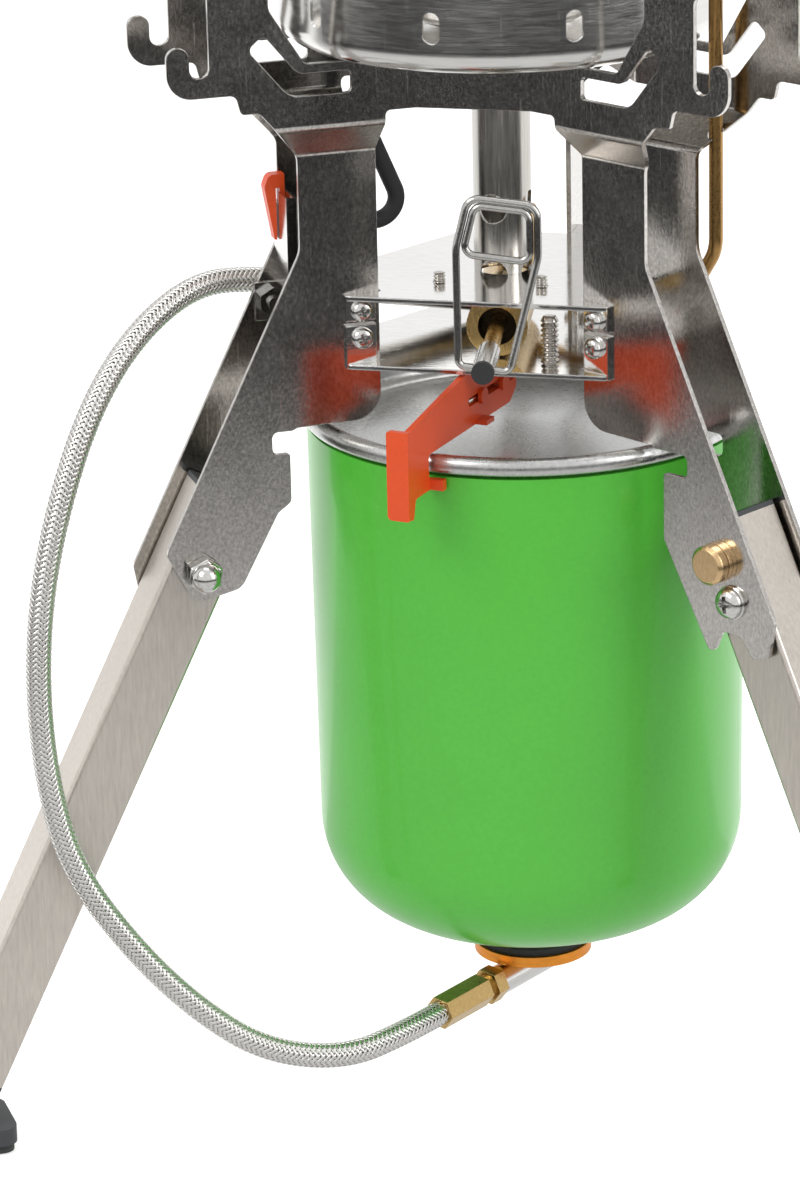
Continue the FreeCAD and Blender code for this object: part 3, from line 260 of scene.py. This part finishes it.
def merged_copy(node_name, name):
    """Copy of a CAD node as one closed mesh with whole flat faces, alone selected."""
    copy = bpy.data.objects.new(name, nodes[node_name].data.copy())
    bpy.context.collection.objects.link(copy)
    bpy.ops.object.select_all(action="DESELECT")
    copy.select_set(True)
    bpy.context.view_layer.objects.active = copy
    bpy.ops.mesh.customdata_custom_splitnormals_clear()
    bpy.ops.object.mode_set(mode="EDIT")
    bpy.ops.mesh.select_all(action="SELECT")
    bpy.ops.mesh.remove_doubles(threshold=1e-6)
    bpy.ops.mesh.dissolve_limited(angle_limit=math.radians(0.5))
    bpy.ops.mesh.select_mode(type="EDGE")
    bpy.ops.mesh.select_all(action="DESELECT")
    bpy.ops.object.mode_set(mode="OBJECT")
    return copy


def bent_sheet(node_name, name, radius, angles, shortest, smallest_flat):
    """Copy of a CAD sheet with its bend lines rounded: long edges whose faces meet between two angles in degrees.
    Faces smaller than smallest_flat are shaded smooth with the bends, and the rest stay flat."""
    sheet = merged_copy(node_name, name)
    mesh = sheet.data
    facing = {}
    for face in mesh.polygons:
        for key in face.edge_keys:
            facing.setdefault(key, []).append(face.normal.copy())
    for edge in mesh.edges:
        sides = facing[edge.key]
        here, there = [mesh.vertices[k].co for k in edge.vertices]
        if len(sides) == 2 and (here - there).length > shortest:
            edge.select = angles[0] < math.degrees(sides[0].angle(sides[1], 0.0)) < angles[1]
    bpy.ops.object.mode_set(mode="EDIT")
    bpy.ops.mesh.bevel(offset=radius, offset_type="OFFSET", segments=5, affect="EDGES", clamp_overlap=True)
    bpy.ops.object.mode_set(mode="OBJECT")
    bends = [face.index for face in mesh.polygons if face.select or face.area < smallest_flat]
    bpy.ops.object.shade_smooth_by_angle(angle=smooth_below)
    mesh.polygons.foreach_set("use_smooth", [False] * len(mesh.polygons))
    for index in bends:
        mesh.polygons[index].use_smooth = True
    mesh.update()
    return sheet


def finish_piece(piece, material, body, slot, *replaced):
    """Gives a new piece its material, ties it to its body and hides the CAD nodes it stands for; the slot argument
    is not used.
    """
    piece.data.materials.clear()
    piece.data.materials.append(material)
    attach(piece, body)
    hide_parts(*replaced)


plate_steel = bare_metal(
    "plate_steel", colour=(0.54, 0.516, 0.488), rough=0.15, grain=1500.0, stretch=(1.0, 1.0, 0.6), wear=1.0,
    edge=0.0003, contrast=0.48)
for side in ("front", "left", "right"):
    plate = bent_sheet(
        "side_plate_" + side, "bent_plate_" + side, radius=0.0023, angles=(38.0, 52.0), shortest=0.002,
        smallest_flat=2e-6)
    finish_piece(plate, plate_steel, "frame", "stainless", "side_plate_" + side)


# Hub plates: two three-armed stainless sheets with ears turned up or down, screwed between the side plates.
# They are polished nearly to mirrors, with only a trace of rolling lines.

mirror_steel = bare_metal(
    "mirror_steel", colour=(0.86, 0.85, 0.83), rough=0.10, grain=1000.0, stretch=(0.25, 1.0, 1.0), wear=0.5,
    edge=0.0005, contrast=0.12)
dress(mirror_steel, ["hub_upper_plate", "hub_lower_plate"])


# Hub screws: twelve small pan-head screws with cross recesses, plated steel, one pair on each side of each leg.
# Each is turned from rod, its head rounded over and the recess punched in. Sizes are in mm.

mm = 0.001
even = (1.0, 1.0, 1.0)
screw_steps = [
    (1.5, -4.0), (1.5, 0.0), (2.6, 0.0), (2.6, 0.75), (2.5, 1.2), (2.2, 1.62), (1.7, 1.9), (1.0, 2.0)]
screw_reach = 39.6
screw_aside = 11.2
screw_levels = (209.0, 202.2)
screw_spin = 1.7
leg_azimuths = [math.radians(angle) for angle in (210.0, 330.0, 90.0)]


def pick_end_face(piece, upper):
    """Leaves the piece in edit mode with only its topmost or lowest face selected."""
    ends = sorted(piece.data.polygons, key=lambda face: face.center.z)
    wanted = (ends[-1] if upper else ends[0]).index
    bpy.context.view_layer.objects.active = piece
    bpy.ops.object.mode_set(mode="EDIT")
    bpy.ops.mesh.select_mode(type="FACE")
    bpy.ops.mesh.select_all(action="DESELECT")
    bpy.ops.object.mode_set(mode="OBJECT")
    piece.data.polygons[wanted].select = True
    bpy.ops.object.mode_set(mode="EDIT")


def turned_piece(name, sides, steps):
    """Round or many-sided piece on the Z axis: a cylinder whose top is drawn on through (radius, height) in mm."""
    (start_radius, low), (end_radius, high) = steps[:2]
    middle = (0.0, 0.0, (low + high) / 2 * mm)
    bpy.ops.object.select_all(action="DESELECT")
    bpy.ops.mesh.primitive_cylinder_add(
        vertices=sides, radius=start_radius * mm, depth=(high - low) * mm, location=middle)
    piece = bpy.context.object
    piece.name = name
    bpy.ops.object.transform_apply(location=True, rotation=True, scale=True)
    pick_end_face(piece, True)
    grow = end_radius / start_radius
    bpy.ops.transform.resize(value=(grow, grow, 1.0), center_override=(0.0, 0.0, high * mm))
    for (before, level), (radius, height) in zip(steps[1:], steps[2:]):
        bpy.ops.mesh.extrude_region_move(TRANSFORM_OT_translate={"value": (0.0, 0.0, (height - level) * mm)})
        grow = radius / before
        bpy.ops.transform.resize(value=(grow, grow, 1.0), center_override=(0.0, 0.0, height * mm))
    bpy.ops.mesh.select_all(action="SELECT")
    bpy.ops.mesh.normals_make_consistent(inside=False)
    bpy.ops.object.mode_set(mode="OBJECT")
    return piece


def punch_cross(piece, top, span, width, depth):
    """Cuts a cross recess with tapered ends into the top of a screw head. Its faces take the second material, a dark
    steel painted as the shade inside the recess.
    """
    taper = 0.45
    for turn in (0.0, math.pi / 2):
        bpy.ops.object.select_all(action="DESELECT")
        bpy.ops.mesh.primitive_cube_add(size=1.0, location=(0.0, 0.0, top * mm), rotation=(0.0, 0.0, turn))
        blade = bpy.context.object
        blade.scale = (span * mm, width * mm, 2 * depth * mm)
        bpy.ops.object.transform_apply(location=True, rotation=True, scale=True)
        pick_end_face(blade, False)
        bpy.ops.transform.resize(value=(taper, taper, 1.0), center_override=(0.0, 0.0, (top - depth) * mm))
        bpy.ops.object.mode_set(mode="OBJECT")
        for face in blade.data.polygons:
            face.material_index = 1
        cut = piece.modifiers.new("recess", "BOOLEAN")
        cut.operation = "DIFFERENCE"
        cut.object = blade
        bpy.context.view_layer.objects.active = piece
        bpy.ops.object.modifier_apply(modifier=cut.name)
        bpy.data.objects.remove(blade)


def soften(piece, width):
    """Rounds the hard edges of a piece by a width in mm and shades it smooth."""
    bpy.ops.object.select_all(action="DESELECT")
    piece.select_set(True)
    bpy.context.view_layer.objects.active = piece
    rounding = piece.modifiers.new("rounding", "BEVEL")
    rounding.width = width * mm
    rounding.segments = 2
    rounding.limit_method = "ANGLE"
    rounding.angle_limit = math.radians(38.0)
    bpy.ops.object.modifier_apply(modifier=rounding.name)
    bpy.ops.object.shade_smooth_by_angle(angle=smooth_below)


def join_pieces(pieces, name):
    """Makes one object of several, at the origin."""
    bpy.ops.object.select_all(action="DESELECT")
    for piece in pieces:
        piece.select_set(True)
    bpy.context.view_layer.objects.active = pieces[0]
    bpy.ops.object.join()
    joined = bpy.context.object
    joined.name = name
    bpy.ops.object.transform_apply(location=True, rotation=True, scale=True)
    return joined


def seat_copies(model, name, seats):
    """Puts a copy of a model on each seat of (point, outward way, spin), and makes one object of them."""
    copies = []
    for point, way, spin in seats:
        copy = model.copy()
        copy.data = model.data.copy()
        bpy.context.collection.objects.link(copy)
        turn = way.to_track_quat("Z", "Y").to_matrix().to_4x4()
        copy.matrix_world = Matrix.Translation(point) @ turn @ Matrix.Rotation(spin, 4, "Z")
        copies.append(copy)
    bpy.data.objects.remove(model)
    return join_pieces(copies, name)


def leg_side(azimuth, sign):
    """The way across a leg, to one side of it."""
    return Vector((-math.sin(azimuth), math.cos(azimuth), 0.0)) * sign


def at_leg(reach, aside, height, azimuth):
    """A point in mm set out from the burner axis: along a leg's direction, to its side, and up."""
    outward = Vector((math.cos(azimuth), math.sin(azimuth), 0.0))
    return (outward * reach + leg_side(azimuth, 1) * aside + Vector((0.0, 0.0, height))) * mm


bright_steel = bare_metal(
    "bright_steel", colour=(0.64, 0.63, 0.61), rough=0.15, grain=1600.0, stretch=even, wear=0.4, edge=0.00012)
# Dark steel for the faces of the cross recesses: painted shade, so that the recesses read dark in the bright heads.
recess_shade_steel = bare_metal(
    "recess_shade_steel", colour=(0.13, 0.126, 0.12), rough=0.42, grain=1600.0, stretch=even, wear=0.0, edge=0.00005)
hub_screw = turned_piece("hub_screw", 32, screw_steps)
soften(hub_screw, 0.10)
punch_cross(hub_screw, top=2.0, span=4.2, width=1.2, depth=1.1)
screw_seats = []
for azimuth in leg_azimuths:
    for sign in (-1, 1):
        for level in screw_levels:
            seat = at_leg(screw_reach, screw_aside * sign, level, azimuth)
            screw_seats.append((seat, leg_side(azimuth, sign), screw_spin * len(screw_seats)))
hub_screws = seat_copies(hub_screw, "cross_hub_screws", screw_seats)
finish_piece(hub_screws, bright_steel, "frame", "bright_steel", "hub_screws")
# The recess faces of the hub screws take the dark painted-shade steel.
hub_screws.data.materials.append(recess_shade_steel)


# Studs and clamp screw: two short threaded studs stand up through the upper hub plate, and one heavier screw with
# a low domed head comes up through the lower plate. Plated steel with rolled threads.

upward = Vector((0.0, 0.0, 1.0))
stud_head = [(2.2, 210.4), (2.6, 210.7), (2.6, 211.8)]
stud_places = [Vector((aside, -14.9, 0.0)) * mm for aside in (-12.7, 12.7)]
clamp_head = [(3.4, 192.4), (5.2, 192.65), (6.1, 193.2), (6.4, 193.9), (6.4, 194.6)]
clamp_place = Vector((15.7, -20.3, 0.0)) * mm


def thread_steps(radius, low, high, pitch, depth):
    """Steps of a turned piece that give a V thread with flat crests and a pointed end."""
    crest_end, root, point = 0.15, 0.55, 0.72
    steps = []
    turns = int((high - low) / pitch)
    for k in range(turns):
        steps += [
            (radius, low + k * pitch), (radius, low + (k + crest_end) * pitch),
            (radius - depth, low + (k + root) * pitch)]
    return steps + [(radius, low + turns * pitch), (point * radius, high)]


thread_steel = bare_metal(
    "thread_steel", colour=(0.54, 0.515, 0.48), rough=0.20, grain=1600.0, stretch=even, wear=0.2, edge=0.00005)
stud_thread = thread_steps(radius=1.5, low=211.81, high=215.4, pitch=0.85, depth=0.45)
stud = turned_piece("hub_stud", 24, stud_head + stud_thread)
soften(stud, 0.03)
studs = seat_copies(stud, "threaded_studs", [(place, upward, 0.0) for place in stud_places])
finish_piece(studs, thread_steel, "frame", "bright_steel", "hub_studs")
clamp_thread = thread_steps(radius=2.2, low=194.61, high=207.0, pitch=1.25, depth=0.65)
clamp = turned_piece("clamp", 40, clamp_head + clamp_thread)
soften(clamp, 0.03)
clamp = seat_copies(clamp, "threaded_clamp", [(clamp_place, upward, 0.0)])
finish_piece(clamp, thread_steel, "frame", "bright_steel", "clamp_screw")


# Burner: a drawn stainless tube with air holes, a spun bowl with slots round its wall, and the pressed head inside.
# The bowl is polished; the tube keeps its long drawing lines and has yellowed a little with heat.

bowl_steel = bare_metal(
    "bowl_steel", colour=(0.66, 0.65, 0.63), rough=0.16, grain=900.0, stretch=(0.15, 0.15, 1.0), wear=0.5,
    contrast=0.10)
dress(bowl_steel, ["burner_bowl", "burner_head"])
tube_steel = bare_metal(
    "tube_steel", colour=(0.50, 0.48, 0.45), rough=0.22, grain=1700.0, stretch=(1.0, 1.0, 0.05), wear=0.4)
dress(tube_steel, ["burner_tube", "hose_inlet"])


# Valve, jet block and preheat tube: turned brass, a little dull, darker where it has been hot or handled.
# The valve has a deep recess round its spindle, painted black inside as shade; the spindle carries a steel sleeve
# with a dark rubber cap and a folding handle of bent steel wire.

brass = (0.56, 0.385, 0.155)
brass_stretch = (1.0, 1.0, 0.4)
valve_turn = math.radians(277.4)
valve_axis = (math.cos(valve_turn), math.sin(valve_turn), 0.0)
valve_centre = (0.0, 0.0, 0.2037)
recess_radius = 0.00465
recess_floor = 0.015
# Black painted into the valve's spindle recess as the shade inside it.
recess_painted_shade = (0.035, 0.025, 0.015, 1.0)


def paint_recess_shade(material, centre, axis, radius, floor):
    """Paints the shade inside a round recess as black colour: all within a radius of an axis and beyond a distance
    along it.
    """
    rim_blur, floor_margin, floor_blur = 0.0001, 0.0004, 0.0001
    tree = material.node_tree
    shader = tree.nodes["Principled BSDF"]
    bare = Socket(tree, shader.inputs["Base Color"].links[0].from_socket)
    place = Socket(tree, tree.nodes["Texture Coordinate"].outputs["Object"])
    offset = place.node("ShaderNodeVectorMath", {"operation": "SUBTRACT"}, {0: place, 1: centre})
    across = offset.node("ShaderNodeVectorMath", {"operation": "CROSS_PRODUCT"}, {0: offset, 1: axis})
    reach = across.node("ShaderNodeVectorMath", {"operation": "LENGTH"}, {0: across}, "Value")
    along = offset.node("ShaderNodeVectorMath", {"operation": "DOT_PRODUCT"}, {0: offset, 1: axis}, "Value")
    within = 1.0 - reach.step(radius, radius + rim_blur)
    inside = within * along.step(floor - floor_margin, floor - floor_blur)
    feed(shader, {"Base Color": inside.mix(bare, recess_painted_shade)})


def coated(name, colour, rough, speck, coat):
    """Paint or moulded plastic: slight mottling and orange peel under an optional clear coat."""
    mottle_share, smudge_share = 0.6, 0.4
    mottle_dull, smudge_dull = 0.10, 0.10
    mean_dull = 0.10
    darkest, palest = 0.86, 1.12
    material, shader, place = new_finish(name)
    mottle = place.node("ShaderNodeTexNoise", {}, {"Vector": place, "Scale": speck, "Detail": 3.0})
    smudge = place.node("ShaderNodeTexNoise", {}, {"Vector": place, "Scale": 40.0, "Detail": 3.0})
    tone = (mottle * mottle_share + smudge * smudge_share).mix(tinted(colour, darkest), tinted(colour, palest))
    bump = place.node("ShaderNodeBump", {}, {"Strength": 0.06, "Distance": 0.0002, "Height": mottle})
    feed(shader, {
        "Base Color": tone, "Coat Weight": coat, "Normal": bump,
        "Roughness": mottle * mottle_dull + smudge * smudge_dull + (rough - mean_dull)})
    return material, shader, place, tone


turned_brass = bare_metal("turned_brass", colour=brass, rough=0.26, grain=1500.0, stretch=brass_stretch, wear=0.5)
dress(turned_brass, ["valve_spindle", "jet_block"])
valve_brass = bare_metal("valve_brass", colour=brass, rough=0.26, grain=1500.0, stretch=brass_stretch, wear=0.5)
paint_recess_shade(valve_brass, valve_centre, valve_axis, recess_radius, recess_floor)
dress(valve_brass, ["valve_body"])
heated_brass = bare_metal(
    "heated_brass", colour=(0.40, 0.235, 0.085), rough=0.30, grain=1500.0, stretch=brass_stretch, wear=0.5)
dress(heated_brass, ["preheat_tube"])
black_rubber = coated("black_rubber", colour=(0.018, 0.018, 0.019), rough=0.60, speck=1400.0, coat=0.0)[0]
dress(black_rubber, ["spindle_cap"])
dress(bright_steel, ["spindle_sleeve"])
handle_steel = bare_metal(
    "handle_steel", colour=(0.46, 0.45, 0.43), rough=0.16, grain=1600.0, stretch=even, wear=0.3)
dress(handle_steel, ["wire_handle"])


# Cartridge: a deep-drawn steel can standing on its head, painted bright gloss green, its rolled base seam left bare.
# The valve cup at its neck is bare too. The paint has a slight orange peel and fine bright flecks.

neck_bare_below, neck_green_above = 0.0392, 0.0402
neck_metal = (0.56, 0.55, 0.53, 1.0)
can_green, green_shader, green_at, green_tone = coated(
    "can_green", colour=(0.078, 0.485, 0.034), rough=0.34, speck=700.0, coat=0.3)
green_height = green_at.node("ShaderNodeSeparateXYZ", {}, {0: green_at}, "Z")
bare_neck = 1.0 - green_height.step(neck_bare_below, neck_green_above)
feed(green_shader, {"Base Color": bare_neck.mix(green_tone, neck_metal), "Metallic": bare_neck})
dress(can_green, ["cartridge_body"])
can_grey = bare_metal("can_grey", colour=(0.52, 0.52, 0.51), rough=0.28, grain=800.0, stretch=even, wear=0.5)
dress(can_grey, ["cartridge_base"])


# Coupling under the can: a black rubber seal, a golden-orange anodised ring and a polished steel body, all turned.
# A brass nut joins the body to the hose.

dress(black_rubber, ["coupling_seal"])
anodised = bare_metal(
    "anodised_ring", colour=(0.80, 0.30, 0.045), rough=0.34, grain=1500.0, stretch=(0.2, 0.2, 1.0), wear=0.3)
dress(anodised, ["coupling_ring"])
dress(bowl_steel, ["coupling_body"])
dress(turned_brass, ["hose_nut"])


# Fuel hose: a rubber core under a sleeve of stainless wire braid, crimped into brass ferrules at both ends.
# Each strand of the braid is a flat bundle of wires that passes over two others and under two, which gives
# long herringbone rows. The hose leaves the coupling, swings out past the left leg and comes back to the valve.

hose_route = [
    (-0.01235, -0.03240, 0.0270), (-0.01793, -0.04524, 0.0270), (-0.0300, -0.0593, 0.0250),
    (-0.0480, -0.0685, 0.0295), (-0.0635, -0.0735, 0.0415), (-0.0780, -0.0765, 0.0570),
    (-0.0925, -0.0783, 0.0780), (-0.0978, -0.0786, 0.1000), (-0.0995, -0.0783, 0.1240),
    (-0.0983, -0.0755, 0.1480), (-0.0945, -0.0690, 0.1700), (-0.0895, -0.0570, 0.1900),
    (-0.0825, -0.0410, 0.2040), (-0.0720, -0.0245, 0.2125), (-0.06067, -0.01251, 0.21132),
    (-0.04959, -0.00611, 0.20906),
]
hose_radius = 0.00315
carriers = 12
braid_lay = 0.0163
braid_steps = 960
ribbon_half = 0.00047
ribbon_rise = 0.00015
ribbon_section = ((-1.0, 0.0), (-0.5, 0.85), (0.5, 0.85), (1.0, 0.0))
weave_height = 0.00013
core_rings = 160
core_sides = 16
core_radius = hose_radius - 2 * weave_height - 1.6 * ribbon_rise
full_turn = 2 * math.pi

line = bpy.data.curves.new("hose_line", "CURVE")
line.dimensions = "3D"
spline = line.splines.new("NURBS")
spline.points.add(len(hose_route) - 1)
for knot, place in zip(spline.points, hose_route):
    knot.co = (*place, 1.0)
spline.order_u = 3
spline.use_endpoint_u = True
spline.resolution_u = 40
line_object = bpy.data.objects.new("hose_line", line)
bpy.context.collection.objects.link(line_object)
bpy.context.view_layer.update()
traced = bpy.data.meshes.new_from_object(line_object)
hose_points = [vertex.co.copy() for vertex in traced.vertices]
bpy.data.objects.remove(line_object)
travelled = [0.0]
for here, there in zip(hose_points, hose_points[1:]):
    travelled.append(travelled[-1] + (there - here).length)
hose_length = travelled[-1]


def hose_stations(count):
    """Evenly spaced centre points along the hose, each with two steady directions across it."""
    stations = []
    across = upward
    index = 0
    for k in range(count + 1):
        goal = hose_length * k / count
        while index < len(travelled) - 2 and travelled[index + 1] < goal:
            index += 1
        share = (goal - travelled[index]) / (travelled[index + 1] - travelled[index])
        centre = hose_points[index].lerp(hose_points[index + 1], min(share, 1.0))
        way = (hose_points[index + 1] - hose_points[index]).normalized()
        across = (across - way * across.dot(way)).normalized()
        stations.append((centre, across.copy(), way.cross(across)))
    return stations


def round_hose(station, turn, reach):
    """A point beside the hose's centre line, at a turn round it and a reach from it."""
    centre, across, aloft = station
    return centre + (across * math.cos(turn) + aloft * math.sin(turn)) * reach


def tube_faces(first, rings, sides):
    """Faces round a closed tube of corner rings that starts at a corner, without its two ends."""
    around = []
    for ring in range(rings):
        for k in range(sides):
            a = first + ring * sides + k
            b = first + ring * sides + (k + 1) % sides
            around.append((a, b, b + sides, a + sides))
    return around


def end_faces(first, rings, sides):
    """The faces that close a tube's two ends."""
    last = first + rings * sides
    return [tuple(first + k for k in reversed(range(sides))), tuple(last + k for k in range(sides))]


corners, faces = [], []
for station in hose_stations(core_rings):
    corners += [round_hose(station, full_turn * k / core_sides, core_radius) for k in range(core_sides)]
faces += tube_faces(0, core_rings, core_sides) + end_faces(0, core_rings, core_sides)
core_faces = len(faces)

braid_stations = hose_stations(braid_steps)
braid_middle = hose_radius - weave_height - ribbon_rise
braid_angle = math.atan2(full_turn * hose_radius, braid_lay)
half_width = ribbon_half / (hose_radius * math.cos(braid_angle))
ribbon_sides = len(ribbon_section)
for direction in (1, -1):
    for carrier in range(carriers):
        first = len(corners)
        for step, station in enumerate(braid_stations):
            spin = full_turn * hose_length * step / braid_steps / braid_lay
            middle = direction * spin + full_turn * carrier / carriers
            over = direction * weave_height * math.cos(middle * carriers / 2)
            for aside, lift in ribbon_section:
                reach = braid_middle + over + lift * ribbon_rise
                corners.append(round_hose(station, middle + aside * half_width, reach))
        faces += tube_faces(first, braid_steps, ribbon_sides) + end_faces(first, braid_steps, ribbon_sides)
hose_mesh = bpy.data.meshes.new("braided_hose")
hose_mesh.from_pydata(corners, [], faces)
hose_mesh.polygons.foreach_set("material_index", [0] * core_faces + [1] * (len(faces) - core_faces))
hose_mesh.polygons.foreach_set("use_smooth", [True] * len(faces))
hose_mesh.update()
hose = bpy.data.objects.new("braided_hose", hose_mesh)
bpy.context.collection.objects.link(hose)
hose_core = coated("hose_core", colour=(0.020, 0.019, 0.018), rough=0.6, speck=1400.0, coat=0.0)[0]
braid_wire = bare_metal(
    "braid_wire", colour=(0.66, 0.645, 0.62), rough=0.28, grain=6000.0, stretch=even, wear=0.0, edge=0.00005)
hose_mesh.materials.append(hose_core)
hose_mesh.materials.append(braid_wire)
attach(hose, "frame")
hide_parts("fuel_hose")
dress(turned_brass, ["lower_ferrule", "upper_ferrule"])


# Rim latch: a bent steel strip, powder coated bright orange, that slides in a polished guide on two pins
# and hooks the can's base seam. A steel wire lies in its slot.

orange_paint = coated("orange_paint", colour=(0.76, 0.075, 0.008), rough=0.40, speck=900.0, coat=0.1)[0]
dress(orange_paint, ["rim_latch", "latch_pins"])
dress(bowl_steel, ["latch_guide"])
dress(bright_steel, ["latch_wire"])


# Igniter: a moulded orange push button in a steel holder strip that is bolted to a side plate.
# A black lead runs from its body to a steel electrode in a white ceramic insulator beside the burner.

dress(orange_paint, ["igniter_button"])
dress(bowl_steel, ["igniter_holder"])
dress(black_rubber, ["igniter_body", "igniter_lead"])
dress(bright_steel, ["igniter_bolt", "igniter_electrode"])
dress(handle_steel, ["igniter_nut"])
ceramic = coated("white_ceramic", colour=(0.80, 0.78, 0.72), rough=0.3, speck=900.0, coat=0.3)[0]
dress(ceramic, ["electrode_insulator"])


# Legs: square stainless tubes, brushed along their length, with moulded plugs and feet of dark grey plastic on
# rubber soles. The brushing leaves long fine lines and a warm, even sheen. A turned brass knob in a brass bush
# locks each leg.

legs = ("left", "right", "back")
leg_steel = bare_metal(
    "leg_steel", colour=(0.60, 0.553, 0.500), rough=0.32, grain=1600.0, stretch=(1.0, 1.0, 0.10), wear=0.5,
    contrast=0.22)
dress(leg_steel, ["leg_tube_" + leg for leg in legs])
grey_plastic = coated("grey_plastic", colour=(0.045, 0.047, 0.052), rough=0.5, speck=1800.0, coat=0.0)[0]
dress(grey_plastic, ["leg_foot_" + leg for leg in legs] + ["leg_plug_" + leg for leg in legs])
dress(black_rubber, ["foot_sole_" + leg for leg in legs])
knob_brass = bare_metal(
    "knob_brass", colour=(0.72, 0.50, 0.27), rough=0.24, grain=1500.0, stretch=brass_stretch, wear=0.5, edge=0.0005)
dress(knob_brass, ["lock_knob_" + leg for leg in legs] + ["lock_bushes"])


# Leg pivots: a plated pan-head bolt with a cross recess goes through both flanges of a side plate and the leg,
# with washers between them, and a closed acorn nut with a domed end is tightened on it.

bolt_steps = [
    (2.5, -23.5), (2.5, 0.0), (4.2, 0.0), (4.2, 0.7), (3.9, 0.8), (3.9, 1.05), (3.75, 1.7), (3.3, 2.4), (2.5, 2.95),
    (1.4, 3.2)]
hexagon_steps = [(4.1, 0.0), (4.6, 0.35), (4.6, 3.5), (4.0, 4.0)]
dome_steps = [
    (3.6, 3.8), (3.6, 4.5), (3.45, 5.2), (3.1, 5.95), (2.6, 6.6), (1.9, 7.1), (1.1, 7.45), (0.4, 7.58)]
pivot_reach = 81.2
pivot_height = 146.6
flange_aside = 10.0
bolt_spin = 0.6
nut_spin = 0.4


def pivot_seats(sign, spin):
    """Seats on one side of the three leg pivots."""
    return [
        (at_leg(pivot_reach, flange_aside * sign, pivot_height, azimuth), leg_side(azimuth, sign), spin + azimuth)
        for azimuth in leg_azimuths]


leg_bolt = turned_piece("leg_bolt", 40, bolt_steps)
soften(leg_bolt, 0.12)
punch_cross(leg_bolt, top=3.2, span=6.2, width=1.6, depth=1.7)
leg_bolts = seat_copies(leg_bolt, "cross_leg_bolts", pivot_seats(-1, bolt_spin))
finish_piece(leg_bolts, bright_steel, "frame", "bright_steel", "leg_bolts")
# The recess faces of the leg bolts take the dark painted-shade steel.
leg_bolts.data.materials.append(recess_shade_steel)
hexagon = turned_piece("acorn_hexagon", 6, hexagon_steps)
soften(hexagon, 0.18)
dome = turned_piece("acorn_dome", 36, dome_steps)
soften(dome, 0.08)
acorn = join_pieces([hexagon, dome], "acorn")
leg_nuts = seat_copies(acorn, "acorn_nuts", pivot_seats(1, nut_spin))
finish_piece(leg_nuts, bright_steel, "frame", "bright_steel", "leg_nuts")
dress(bright_steel, ["leg_washers"])
